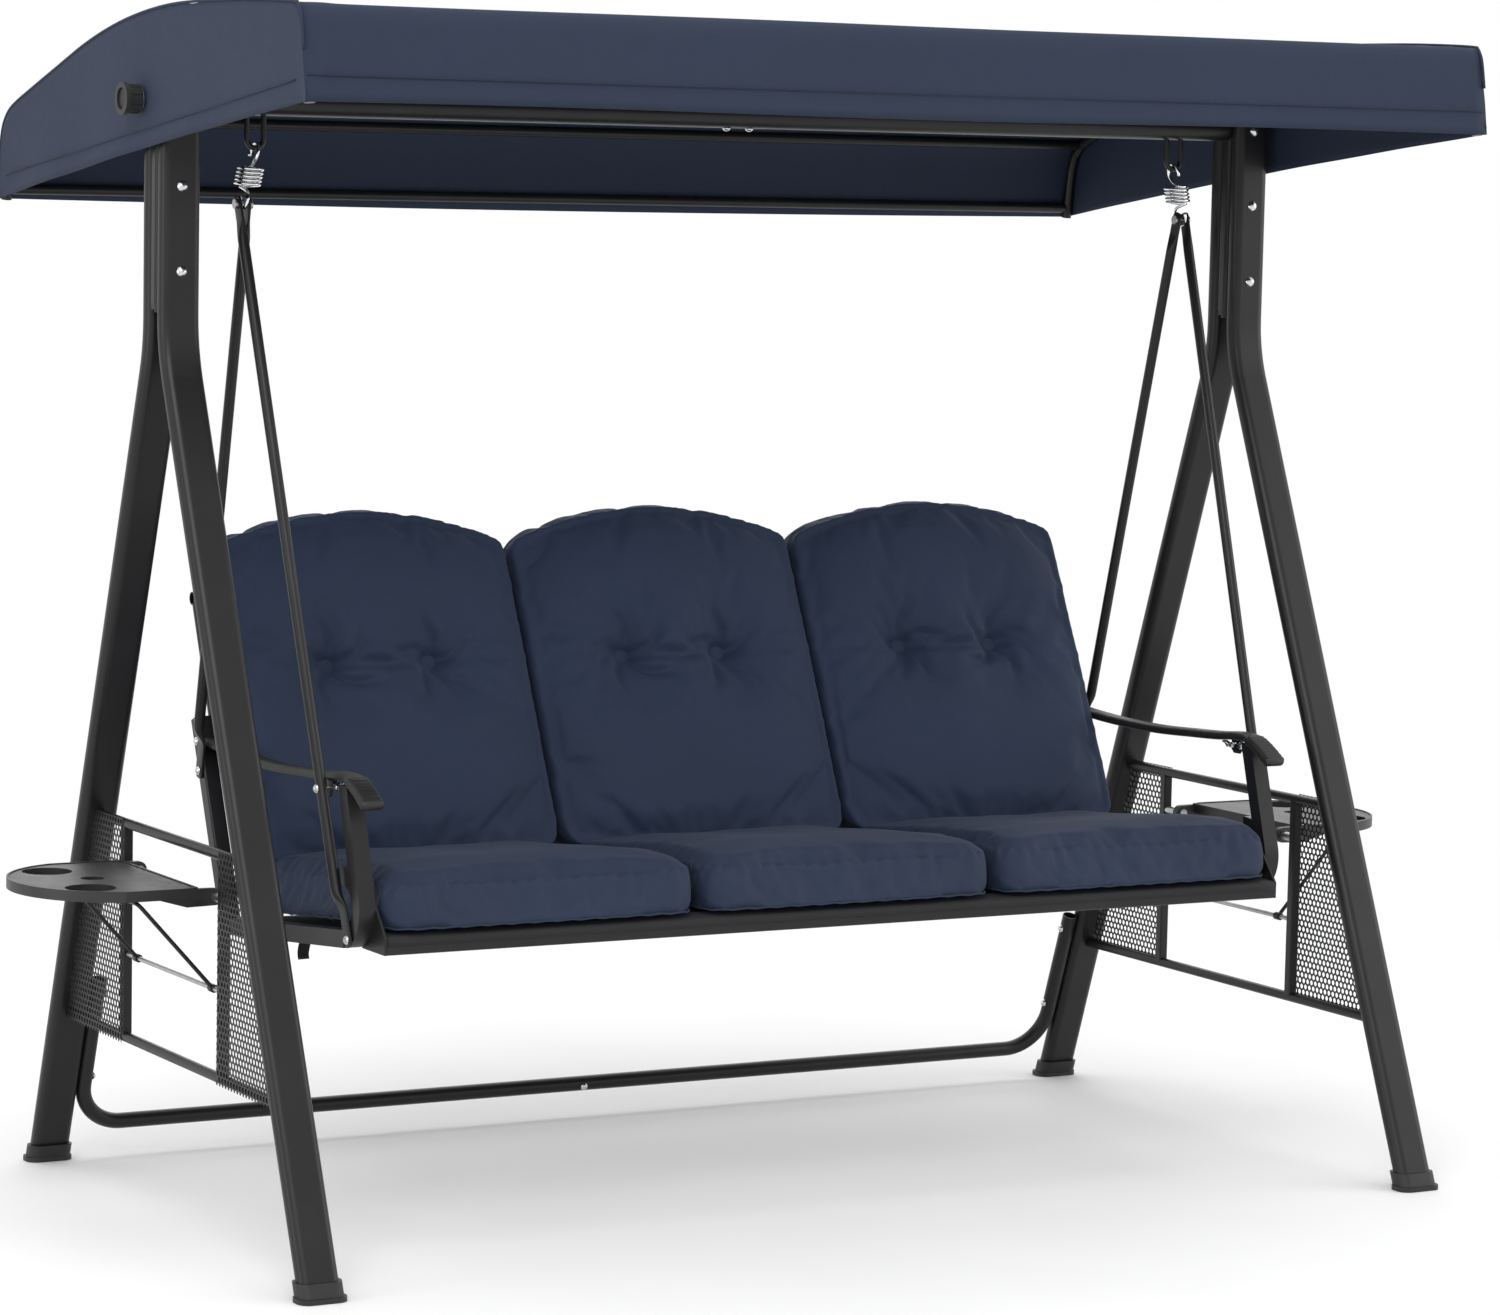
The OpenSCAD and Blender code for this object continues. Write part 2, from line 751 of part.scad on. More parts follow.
module canopy_cover() {
    inner = inset(canopy_pts, cloth_t);
    last = len(canopy_pts) - 1;
    half = canopy_w / 2;
    color([0.20, 0.25, 0.36])
        difference() {
            yz_extrude(-half, half) polygon(canopy_pts);
            yz_extrude(cloth_t - half, half - cloth_t)
                polygon(concat(
                    inner,
                    [[inner[last][0], inner[last][1] - 60], [inner[0][0], inner[0][1] - 60]]));
            x_cyl(-half - 1, half + 1, 0, beam_z, bolt_d + 6);
        }
}

// one side tube, bent along the outline just inside the cloth
module canopy_side() {
    pts = inset(canopy_pts, cloth_t + 1 + canopy_d / 2);
    color([0.13, 0.13, 0.14])
        difference() {
            union() {
                sweep([for (p = pts) [arm_x, p[0], p[1]]], canopy_d / 2, 12);
                // plate from the tube down to the tilt pivot
                yz_extrude(arm_x - plate_t / 2, arm_x + plate_t / 2) {
                    translate([-17, beam_z]) square([34, 108]);
                    translate([0, beam_z]) circle(d = 34);
                }
            }
            x_cyl(arm_x - 20, arm_x + 20, 0, beam_z, bolt_d + 2 * run_fit);
        }
}

module canopy_arm_left() { mirror([1, 0, 0]) canopy_side(); }
module canopy_arm_right() { canopy_side(); }

// level tubes across the canopy, from side tube to side tube
module canopy_bars() {
    d = cloth_t + 1 + canopy_d / 2;
    pts = inset(canopy_pts, d);
    n = len(pts) - 1;
    color([0.13, 0.13, 0.14])
        for (p = [along(pts[0], pts[1], hem_rise), pts[4], pts[9], pts[15],
                  along(pts[n], pts[n - 1], hem_rise)])
            difference() {
                x_cyl(-arm_x + canopy_d / 2, arm_x - canopy_d / 2, p[0], p[1], canopy_d);
                x_cyl(-arm_x, arm_x, p[0], p[1], canopy_d - 2 * wall);
            }
}

module grommets() {
    color([0.85, 0.85, 0.86])
        both()
            difference() {
                x_cyl(canopy_w / 2, canopy_w / 2 + 1.2, 0, beam_z, 38);
                x_cyl(canopy_w / 2 - 1, canopy_w / 2 + 3, 0, beam_z, 20);
            }
}

// friction washers between the legs and the canopy plates
module tilt_washers() {
    color([0.10, 0.10, 0.10])
        both()
            difference() {
                x_cyl(leg_x + head_w / 2, arm_x - plate_t / 2 - 0.4, 0, beam_z, 22);
                x_cyl(leg_x, arm_x, 0, beam_z, bolt_d + 2 * bolt_fit);
            }
}

module knob() {
    x0 = canopy_w / 2 + 1.2 + gap;
    n = 9;
    color([0.08, 0.08, 0.08]) {
        difference() {
            union() {
                x_cyl(x0, x0 + knob_h - 7, 0, beam_z, knob_d - 5);
                x_cyl(x0 + knob_h - 7, x0 + knob_h, 0, beam_z, knob_d);
            }
            for (i = [0 : n - 1])
                translate([0, 0, beam_z]) rotate([i * 360 / n, 0, 0])
                    x_cyl(x0 - 1, x0 + knob_h - 8, 0, knob_d / 2, 9);
            x_cyl(x0 + knob_h - 3, x0 + knob_h + 1, 0, beam_z, knob_d - 16);
        }
        x_cyl(leg_x + 12, x0 + e, 0, beam_z, bolt_d);
    }
}

module knob_left() { mirror([1, 0, 0]) knob(); }
module knob_right() { knob(); }

// ---------- suspension ----------

hook_r = 14;
hook_play = 1.4;
hook_top = loop_z + loop_d / 2 + spring_wire / 2 + hook_play - hook_r;
hook_low = pin_z - pin_d / 2 - spring_wire / 2 - hook_play + hook_r;
coil_r = (spring_od - spring_wire) / 2;
coil_top = hook_top - hook_r - spring_wire - 2;
coil_low = hook_low + hook_r + spring_wire + 1;
face = -90;
eh = [cos(face), sin(face), 0];
ep = [-sin(face), cos(face), 0];

// points of the spring's centre line, seen from its own axis, before it leans outwards
function hook_pt(z, t) = [0, 0, z] + hook_r * (cos(t) * eh + [0, 0, sin(t)]);
function coil_pt(t) =
    let (f = t / (360 * spring_turns))
    coil_r * (-cos(t) * eh - sin(t) * ep) + [0, 0, coil_top + f * (coil_low - coil_top)];
function bez(a, b, c, d, t) =
    pow(1 - t, 3) * a + 3 * pow(1 - t, 2) * t * b + 3 * (1 - t) * t * t * c + pow(t, 3) * d;

up_end = hook_pt(hook_top, -45);
up_dir = unit([0, 0, -cos(45)] - sin(45) * eh);
low_end = hook_pt(hook_low, 45);
low_dir = unit([0, 0, cos(45)] - sin(45) * eh);
coil_a = coil_pt(0);
coil_b = coil_pt(360 * spring_turns);

spring_line = concat(
    [for (t = [200 : -17.5 : -45]) hook_pt(hook_top, t)],
    [for (t = [0.25 : 0.25 : 0.75])
        bez(up_end, up_end + 9 * up_dir, coil_a + 10 * ep, coil_a, t)],
    [for (t = [0 : 24 : 360 * spring_turns]) coil_pt(t)],
    [for (t = [0.25 : 0.25 : 0.75])
        bez(coil_b, coil_b - 10 * ep, low_end + 9 * low_dir, low_end, t)],
    [for (t = [45 : -17.5 : -200]) hook_pt(hook_low, t)]
);

module sweep(pts, r, sides) {
    n = len(pts);
    tan_v = [for (i = [0 : n - 1]) unit(pts[min(i + 1, n - 1)] - pts[max(i - 1, 0)])];
    first = unit(cross(tan_v[0], [0.3, 0.5, 0.81]));
    side_v = [
        for (i = 0, s = first; i < n;
             i = i + 1, s = i < n ? unit(s - (s * tan_v[i]) * tan_v[i]) : s)
            s
    ];
    ring = [
        for (i = [0 : n - 1])
            for (k = [0 : sides - 1])
                let (a = 360 * k / sides, u = side_v[i], v = cross(tan_v[i], u))
                pts[i] + r * (cos(a) * u + sin(a) * v)
    ];
    walls = [
        for (i = [0 : n - 2])
            for (k = [0 : sides - 1])
                let (a = i * sides + k, b = i * sides + (k + 1) % sides)
                for (f = [[a, b, b + sides], [a, b + sides, a + sides]]) [f[2], f[1], f[0]]
    ];
    polyhedron(
        points = ring,
        faces = concat(
            walls,
            [[for (k = [0 : sides - 1]) k]],
            [[for (k = [sides - 1 : -1 : 0]) (n - 1) * sides + k]]),
        convexity = 8);
}

module spring(s) {
    lean = (pin_x - loop_x) / (loop_z - pin_z);
    color([0.85, 0.86, 0.87])
        sweep([
            for (p = spring_line)
                [s * (loop_x + lean * (loop_z - p[2])) - s * p[0], -s * p[1], p[2]]
        ], spring_wire / 2, 8);
}

module spring_left() {
    spring(-1);
}

module spring_right() {
    lean = (pin_x - loop_x) / (loop_z - pin_z);
    color([0.85, 0.86, 0.87])
        sweep([
            for (p = spring_line)
                [loop_x + lean * (loop_z - p[2]) - p[0], -p[1], p[2]]
        ], spring_wire / 2, 8);
}

// points local -Z along v, keeping local X level
module in_line(v) {
    a = atan2(v[1], -v[2]);
    c = atan2(v[0], norm([v[1], v[2]]));
    rotate([a, 0, 0]) rotate([0, -c, 0]) children();
}

// the stretch where the round rod is squashed flat; shift is how far the rod stands off
module neck(w, l, shift) {
    s = hanger_d * 0.34;
    intersection() {
        translate([-50, 0, 0])
            multmatrix([[0, 0, 1, 0], [1, 0, 0, 0], [0, 1, 0, 0]])
                linear_extrude(100)
                    polygon([[-w / 2, 0], [-s, -l], [s, -l], [w / 2, 0]]);
        translate([0, -50, 0])
            multmatrix([[1, 0, 0, 0], [0, 0, 1, 0], [0, 1, 0, 0]])
                linear_extrude(100)
                    polygon([[-tab_t / 2, 0], [shift - s, -l], [shift + s, -l], [tab_t / 2, 0]]);
    }
}

stand_off = hanger_d / 2 - tab_t / 2 + 0.7;
top_flat = 26;
low_flat = 46;
neck_l = 28;

// one hanger rod: flattened on the pin at the top, and on the seat frame at its bolt
module hanger(low, tab_x) {
    top = [tab_x, 0, pin_z];
    bottom = [low[0] + tab_t / 2 + 0.3, low[1], low[2]];
    v = unit(bottom - top);
    l = norm(bottom - top);
    a = top + v * (top_flat + neck_l - 3);
    b = bottom - v * (low_flat + neck_l - 3) + [stand_off, 0, 0];
    color([0.20, 0.20, 0.21])
        difference() {
            union() {
                rod(a, b, hanger_d);
                translate(top) in_line(v) {
                    translate([-tab_t / 2, -11.5, -top_flat]) cube([tab_t, 23, top_flat]);
                    translate([0, 0, -top_flat]) neck(23, neck_l, 0);
                    rotate([0, 90, 0]) translate([0, 0, -tab_t / 2]) cylinder(d = 23, h = tab_t);
                }
                translate(bottom) in_line(-v) {
                    translate([-tab_t / 2, -11, -low_flat]) cube([tab_t, 22, low_flat]);
                    translate([0, 0, -low_flat]) neck(22, neck_l, stand_off);
                    rotate([0, 90, 0]) translate([0, 0, -tab_t / 2]) cylinder(d = 22, h = tab_t);
                }
            }
            x_cyl(tab_x - 30, tab_x + 30, 0, pin_z, pin_d + 2 * bolt_fit);
            x_cyl(low[0] - 30, low[0] + 60, low[1], low[2], small_bolt_d + 2 * bolt_fit);
            if (low[1] < 0)
                x_cyl(low[0] - 30, low[0] + 60, hang_y(low, arm_bolt_z), arm_bolt_z,
                    small_bolt_d + 2 * bolt_fit);
        }
}

hook_room = spring_wire + 6;
tab_in = pin_x - hook_room / 2 - tab_t / 2;
tab_far = pin_x + hook_room / 2 + tab_t / 2;

module hanger_front_left() { mirror([1, 0, 0]) hanger(front_low, tab_far); }
module hanger_front_right() { hanger(front_low, tab_far); }
module hanger_rear_left() { mirror([1, 0, 0]) hanger(rear_low, tab_in); }
module hanger_rear_right() { hanger(rear_low, tab_in); }

module hanger_pins() {
    out = hook_room / 2 + tab_t + 0.2;
    color([0.62, 0.62, 0.60])
        both() {
            x_cyl(pin_x - out - 2, pin_x + out + 2, 0, pin_z, pin_d);
            x_cyl(pin_x + out, pin_x + out + 4, 0, pin_z, 14);
            x_cyl(pin_x - out - 4, pin_x - out, 0, pin_z, 14);
        }
}

// ---------- seat frame ----------

// the side frame's outline: the upright, the round corner and the rail, as wide as w
module side_path(w) {
    r = 45;
    inner = 90 - up_lean + seat_tilt;
    run = r / tan(inner / 2);
    up_len = (arm_under - corner_z) / cos(up_lean) + 8;
    rail_len = (rear_corner_y - corner_y) / cos(seat_tilt);
    translate([corner_y, corner_z]) {
        rotate(90 - up_lean) translate([run, -w / 2]) square([up_len - run, w]);
        rotate(-seat_tilt) translate([run, -w / 2]) square([rail_len - run, w]);
        // the corner is a ring cut to the angle between them
        rotate(-seat_tilt) translate([run, r])
            difference() {
                circle(r = r + w / 2);
                circle(r = r - w / 2);
                translate([0, -4 * r]) square([4 * r, 8 * r]);
                rotate(inner - 180) translate([-4 * r, 0]) square([8 * r, 4 * r]);
            }
    }
}

module seat_bolt_holes() {
    d = small_bolt_d + 2 * bolt_fit;
    for (p = [front_low, rear_low])
        x_cyl(p[0] - 60, p[0] + 60, p[1], p[2], d);
    x_cyl(side_in - 20, side_out + 60, post_y(arm_z - arm_t / 2), arm_z - arm_t / 2 - 4, d);
}

module seat_side() {
    color([0.17, 0.17, 0.18])
        difference() {
            union() {
                difference() {
                    yz_extrude(side_in, side_out) side_path(seat_tube);
                    yz_extrude(side_in + wall, side_out - wall) side_path(seat_tube - 2 * wall);
                }
                // gusset that carries the front tube
                yz_extrude(side_in - gusset_t, side_in)
                    polygon([
                        [front_tube_y - 12, front_tube_z - 12], [front_tube_y - 12, front_tube_z + 12],
                        [up_y(corner_z + 60) - 2, corner_z + 60], [up_y(corner_z + 60) + 10, corner_z + 60],
                        [corner_y + 45, rail_z(corner_y + 45)], [corner_y + 45, front_tube_z - 12]
                    ]);
            }
            seat_bolt_holes();
            // the upright is cut off level, just under the armrest
            translate([side_in - 10, -600, arm_under]) cube([seat_tube + 20, 600, 200]);
        }
}

module seat_side_left() { mirror([1, 0, 0]) seat_side(); }
module seat_side_right() { seat_side(); }

post_end_z = arm_z + 22;

module back_post() {
    l = (post_end_z - rear_corner_z) / cos(back_lean);
    color([0.17, 0.17, 0.18])
        difference() {
            translate([seat_x, rear_corner_y, rear_corner_z]) rotate([-back_lean, 0, 0])
                linear_extrude(l)
                    difference() {
                        rrect(seat_tube, seat_tube, 3);
                        rrect(seat_tube - 2 * wall, seat_tube - 2 * wall, 1.5);
                    }
            yz_extrude(side_in - 1, side_out + 1) side_path(seat_tube);
            seat_bolt_holes();
        }
}

module back_post_left() { mirror([1, 0, 0]) back_post(); }
module back_post_right() { back_post(); }

back_tube_d = 20;
back_tube_z = back_top - 40;

module seat_cross_tubes() {
    half = side_in - gusset_t;
    color([0.17, 0.17, 0.18]) {
        translate([-half, front_tube_y, front_tube_z]) rotate([0, 90, 0])
            linear_extrude(2 * half)
                difference() {
                    rrect(seat_tube, seat_tube, 4);
                    rrect(seat_tube - 2 * wall, seat_tube - 2 * wall, 2.5);
                }
        for (p = [[rear_corner_y - 25, rail_z(rear_corner_y - 25) - 2], [post_y(back_tube_z), back_tube_z]])
            difference() {
                x_cyl(-side_in, side_in, p[0], p[1], back_tube_d);
                x_cyl(-side_in - 1, side_in + 1, p[0], p[1], back_tube_d - 2 * wall);
            }
        // uprights that carry the top tube, each fixed to the inner side of a back post
        both()
            difference() {
                pipe([side_in - back_tube_d / 2, post_y(arm_z + 5), arm_z + 5],
                    [side_in - back_tube_d / 2, post_y(back_tube_z), back_tube_z], back_tube_d, wall);
                x_cyl(-side_in, side_in, post_y(back_tube_z), back_tube_z, back_tube_d);
            }
    }
}

// woven slings that the cushions lie on
module seat_sling() {
    y0 = front_tube_y - 5;
    y1 = rear_corner_y - 22;
    color([0.12, 0.12, 0.13])
        yz_extrude(-side_in + 5, side_in - 5)
            polygon([
                [y0, front_tube_z + seat_tube / 2], [y0 + 10, front_tube_z + seat_tube / 2],
                [y0 + 34, seat_top(y0 + 34) - 2.5], [y1, seat_top(y1) - 2.5],
                [y1, seat_top(y1) - 0.5], [y0 + 30, seat_top(y0 + 30) - 0.5]
            ]);
}

module back_sling() {
    z0 = seat_top(60) + 30;
    f = seat_tube / 2 / cos(back_lean);
    color([0.12, 0.12, 0.13])
        yz_extrude(-side_in + 5, side_in - 5)
            polygon([
                [post_y(z0) - f, z0], [post_y(z0) - f + 2, z0],
                [post_y(back_tube_z - 12) - f + 2, back_tube_z - 12],
                [post_y(back_tube_z) - 10.7, back_tube_z],
                [post_y(back_tube_z + 6) - f, back_tube_z + 6]
            ]);
}

// the armrest's side outline: a shallow dip, then a pad that slopes down at the front
module arm_outline(t) {
    z = arm_z;
    y1 = post_y(arm_z) + 16;
    yf = up_y(arm_under);
    top = [
        [y1, z + 2], [y1 - 60, z - 5], [y1 - 170, z - 11], [y1 - 290, z - 12], [y1 - 400, z - 7],
        [yf + 80, z - 3], [yf + 40, z + 1], [yf + 10, z + 2], [yf - 12, z - 2],
        [yf - 34, z - 11], [yf - 56, z - 23], [yf - 68, z - 30]
    ];
    n = len(top) - 1;
    under = [for (i = [n : -1 : 0]) top[i] - [i < n - 3 ? 0 : -(i - n + 4) * 1.7, t + (i > n - 3 ? 2 : 0)]];
    polygon(concat(top, under));
}

module armrest() {
    x0 = arm_in;
    color([0.15, 0.15, 0.16])
        difference() {
            union() {
                yz_extrude(x0, x0 + arm_w) arm_outline(arm_t);
                // lug under the armrest for the hanger bolt, cut back where it would meet the upright
                difference() {
                    yz_extrude(side_out - 6, side_out + 0.5)
                        translate([hang_y(front_low, arm_bolt_z) - 13, arm_bolt_z - 11]) square([26, 22]);
                    yz_extrude(side_out - 10, side_out + 1) side_path(seat_tube + gap);
                }
            }
            // room for the back post
            translate([seat_x, rear_corner_y, rear_corner_z]) rotate([-back_lean, 0, 0])
                linear_extrude(600) rrect(seat_tube + 0.4, seat_tube + 0.4, 3);
            // the inner side steps back beside the back cushion and its sling
            yz_extrude(x0 - 1, seat_w / 2 + cushion_side_gap)
                polygon([
                    for (p = [[-back_t - 8, -80], [-back_t - 8, 40], [0, 40], [0, -80]])
                        [post_y(arm_z + p[1]) + (p[0] - seat_tube / 2) / cos(back_lean) + (p[0] < 0 ? 0 : 4),
                         arm_z + p[1]]
                ]);
            // flat seat on top of the upright
            translate([x0 - 1, up_y(arm_under) - 22, arm_under - 60]) cube([arm_w + 2, 44, 60]);
            x_cyl(side_out - 30, side_out + 30, hang_y(front_low, arm_bolt_z), arm_bolt_z,
                small_bolt_d + 2 * bolt_fit);
            seat_bolt_holes();
        }
}

module armrest_left() { mirror([1, 0, 0]) armrest(); }
module armrest_right() { armrest(); }

module seat_bolts() {
    color([0.80, 0.80, 0.81])
        both() {
            // hanger rods to the side rail and to the back post
            for (p = [front_low, rear_low])
                translate([p[0], p[1], p[2]]) {
                    through = seat_tube + (p[1] < 0 ? gusset_t : 0);
                    x_cyl(-through - 8, tab_t + 1.5, 0, 0, small_bolt_d);
                    translate([tab_t + 0.8, 0, 0]) rotate([0, 90, 0]) dome_head(13, 4.5);
                    translate([-through - 0.2, 0, 0]) rotate([0, -90, 0]) hex_nut(11, 5);
                }
            // hanger rod to the armrest lug
            translate([0, hang_y(front_low, arm_bolt_z), arm_bolt_z]) {
                hx = hanger_out(arm_bolt_z);
                x_cyl(side_out - 12, hx + 1, 0, 0, small_bolt_d);
                translate([hx + 0.4, 0, 0]) rotate([0, 90, 0]) dome_head(13, 4.5);
                translate([side_out - 6.3, 0, 0]) rotate([0, -90, 0]) hex_nut(11, 5);
            }
            // armrest to the back post
            translate([0, post_y(arm_z - arm_t / 2), arm_z - arm_t / 2 - 4]) {
                x_cyl(arm_in - 8, side_out + 1, 0, 0, small_bolt_d);
                translate([side_out + 0.3, 0, 0]) rotate([0, 90, 0]) dome_head(13, 4);
                translate([arm_in - 0.3, 0, 0]) rotate([0, -90, 0]) hex_nut(11, 5);
            }
        }
}

// outermost place of the front hanger rod at height z
function hanger_out(z) =
    let (
        t = (pin_z - z) / (pin_z - front_low[2]),
        low_x = front_low[0] + tab_t / 2 + 0.3 + stand_off
    )
    tab_far + (low_x - tab_far) * t + hanger_d / 2;

// ---------- cushions ----------

module seat_cushion(i) {
    x0 = -seat_w / 2 + 1 + i * (cushion_w + cushion_gap);
    y0 = front_tube_y - 20;
    y1 = rear_corner_y - 8;
    color([0.23, 0.29, 0.42])
        yz_extrude(x0, x0 + cushion_w)
            polygon([
                [y0, seat_top(y0) + 8], [y0 + 8, seat_top(y0 + 8) + 0.5],
                [y1 - 8, seat_top(y1 - 8) + 0.5], [y1, seat_top(y1) + 8],
                [y1, seat_top(y1) + cushion_t - 8], [y1 - 8, seat_top(y1 - 8) + cushion_t],
                [y0 + 8, seat_top(y0 + 8) + cushion_t], [y0, seat_top(y0) + cushion_t - 8]
            ]);
}

module seat_cushion_1() { seat_cushion(0); }
module seat_cushion_2() { seat_cushion(1); }
module seat_cushion_3() { seat_cushion(2); }

back_cushion_top = back_top + 72;

module back_cushion(i) {
    x0 = -seat_w / 2 + 1 + i * (cushion_w + cushion_gap);
    f = seat_tube / 2 / cos(back_lean) + 1;
    b = back_t / cos(back_lean);
    c = back_top_t / cos(back_lean);
    yr = post_y(seat_top(60) + cushion_t) - f;
    z0 = seat_top(yr) + cushion_t + 1;
    z1 = back_cushion_top;
    zf = seat_top(yr - b) + cushion_t + 1;
    arch_r = (pow(cushion_w / 2, 2) + pow(back_arch, 2)) / (2 * back_arch);
    color([0.16, 0.20, 0.28])
        intersection() {
            yz_extrude(x0, x0 + cushion_w)
                polygon([
                    [post_y(z0) - f, z0], [post_y(zf) - f - b + 6, zf],
                    [post_y(zf + 14) - f - b, zf + 14],
                    [post_y(z1 - 40) - f - c, z1 - 40], [post_y(z1 - 10) - f - c + 16, z1 - 10],
                    [post_y(z1) - f - c / 2, z1], [post_y(z1 - 12) - f - 8, z1 - 12],
                    [post_y(z1 - 30) - f, z1 - 30]
                ]);
            y_cyl(x0 + cushion_w / 2, -100, 700, z1 - arch_r, 2 * arch_r, $fn = 128);
        }
}

module back_cushion_1() { back_cushion(0); }
module back_cushion_2() { back_cushion(1); }
module back_cushion_3() { back_cushion(2); }

// ---------- assembly ----------

module seat_cushions() {
    seat_cushion_1();
    seat_cushion_2();
    seat_cushion_3();
}

front_leg_left();
front_leg_right();
rear_leg_left();
rear_leg_right();
foot_caps();
head_post_left();
head_post_right();
post_plugs();
beam_left();
beam_right();
beam_sleeve();
beam_bolts();
beam_loops();
post_bolts();
cross_tube_left();
cross_tube_right();
cross_sleeve();
cross_bolts();
panel_rails_left();
panel_rails_right();
panel_bars_left();
panel_bars_right();
panel_plates_left();
panel_plates_right();
tray_pins();
stay_rods();
tray_left();
tray_right();
stay_left();
stay_right();
canopy_arm_left();
canopy_arm_right();
canopy_bars();
canopy_cover();
grommets();
tilt_washers();
knob_left();
knob_right();
spring_left();
spring_right();
hanger_front_left();
hanger_front_right();
hanger_rear_left();
hanger_rear_right();
hanger_pins();
seat_side_left();
seat_side_right();
back_post_left();
back_post_right();
seat_cross_tubes();
seat_sling();
back_sling();
armrest_left();
armrest_right();
seat_bolts();
seat_cushions();
back_cushion_1();
back_cushion_2();
back_cushion_3();
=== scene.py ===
import json
import math

import bmesh
import bpy
from mathutils import Matrix, Vector, noise

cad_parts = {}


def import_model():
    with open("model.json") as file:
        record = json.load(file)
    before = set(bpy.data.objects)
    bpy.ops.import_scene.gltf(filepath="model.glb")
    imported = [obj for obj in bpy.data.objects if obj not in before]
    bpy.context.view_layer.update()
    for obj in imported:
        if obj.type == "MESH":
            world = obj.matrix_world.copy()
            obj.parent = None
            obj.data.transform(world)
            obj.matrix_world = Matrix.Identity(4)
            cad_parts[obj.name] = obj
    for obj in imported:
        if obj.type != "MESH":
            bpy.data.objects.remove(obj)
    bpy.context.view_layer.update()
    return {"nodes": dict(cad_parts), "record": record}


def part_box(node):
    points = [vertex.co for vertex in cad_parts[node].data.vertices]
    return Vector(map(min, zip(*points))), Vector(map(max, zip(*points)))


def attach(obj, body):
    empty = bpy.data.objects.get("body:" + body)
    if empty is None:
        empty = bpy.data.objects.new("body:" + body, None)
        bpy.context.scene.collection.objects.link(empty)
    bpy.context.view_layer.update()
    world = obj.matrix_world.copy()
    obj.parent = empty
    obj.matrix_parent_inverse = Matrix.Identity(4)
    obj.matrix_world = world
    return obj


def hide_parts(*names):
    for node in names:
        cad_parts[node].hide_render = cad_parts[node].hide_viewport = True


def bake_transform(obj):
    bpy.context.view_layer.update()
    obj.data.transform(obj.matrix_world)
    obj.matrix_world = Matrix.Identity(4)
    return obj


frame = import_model()
nodes = frame["nodes"]
scene = bpy.context.scene


# ---------- camera, light and surround ----------

# the photograph's camera, solved from the legs, the beam and the seat
CAMERA_PLACE = (-3.530, -6.437, 1.520)
CAMERA_TURN = (29.18, 6.22, 1.20)       # yaw, pitch and roll, in degrees
CAMERA_LENS = 116.016                   # mm, for a picture 36 mm wide
CAMERA_SHIFT = (-0.0092667, 0.0323333)  # shares of the picture's width


def add_camera():
    yaw, pitch, roll = (math.radians(a) for a in CAMERA_TURN)
    ahead = Vector((math.sin(yaw) * math.cos(pitch), math.cos(yaw) * math.cos(pitch), -math.sin(pitch)))
    right0 = Vector((math.cos(yaw), -math.sin(yaw), 0.0))
    up0 = right0.cross(ahead)
    right = math.cos(roll) * right0 + math.sin(roll) * up0
    up = -math.sin(roll) * right0 + math.cos(roll) * up0
    cam = bpy.data.cameras.new("camera")
    cam.sensor_width = 36.0
    cam.lens = CAMERA_LENS
    cam.shift_x, cam.shift_y = CAMERA_SHIFT
    cam.clip_end = 60.0
    obj = bpy.data.objects.new("camera", cam)
    m = Matrix((right, up, -ahead)).transposed().to_4x4()
    m.translation = Vector(CAMERA_PLACE)
    obj.matrix_world = m
    scene.collection.objects.link(obj)
    scene.camera = obj


def area_light(name, place, aim, size, power):
    data = bpy.data.lights.new(name, "AREA")
    data.shape = "RECTANGLE"
    data.size, data.size_y = size
    data.energy = power
    obj = bpy.data.objects.new(name, data)
    obj.location = place
    obj.rotation_euler = (Vector(aim) - Vector(place)).to_track_quat("-Z", "Y").to_euler()
    scene.collection.objects.link(obj)


add_camera()
area_light("key", (-3.2, -4.2, 4.6), (0, 0, 0.8), (3.5, 2.5), 130)
area_light("fill", (5.0, -2.6, 2.2), (0, 0, 0.9), (3.0, 3.0), 60)
area_light("top", (0.0, 0.2, 5.4), (0, 0, 0), (5.0, 4.0), 70)
area_light("rim", (2.5, 5.0, 3.2), (0, 0, 1.0), (4.0, 2.5), 50)
area_light("low_left", (-4.6, -0.5, 1.1), (-0.9, 0, 0.8), (1.6, 2.2), 25)

world = bpy.data.worlds.new("studio")
world.use_nodes = True
world.node_tree.nodes["Background"].inputs["Color"].default_value = (1.0, 1.0, 1.0, 1.0)
world.node_tree.nodes["Background"].inputs["Strength"].default_value = 1.0
scene.world = world
scene.view_settings.view_transform = "Standard"


# ---------- materials ----------

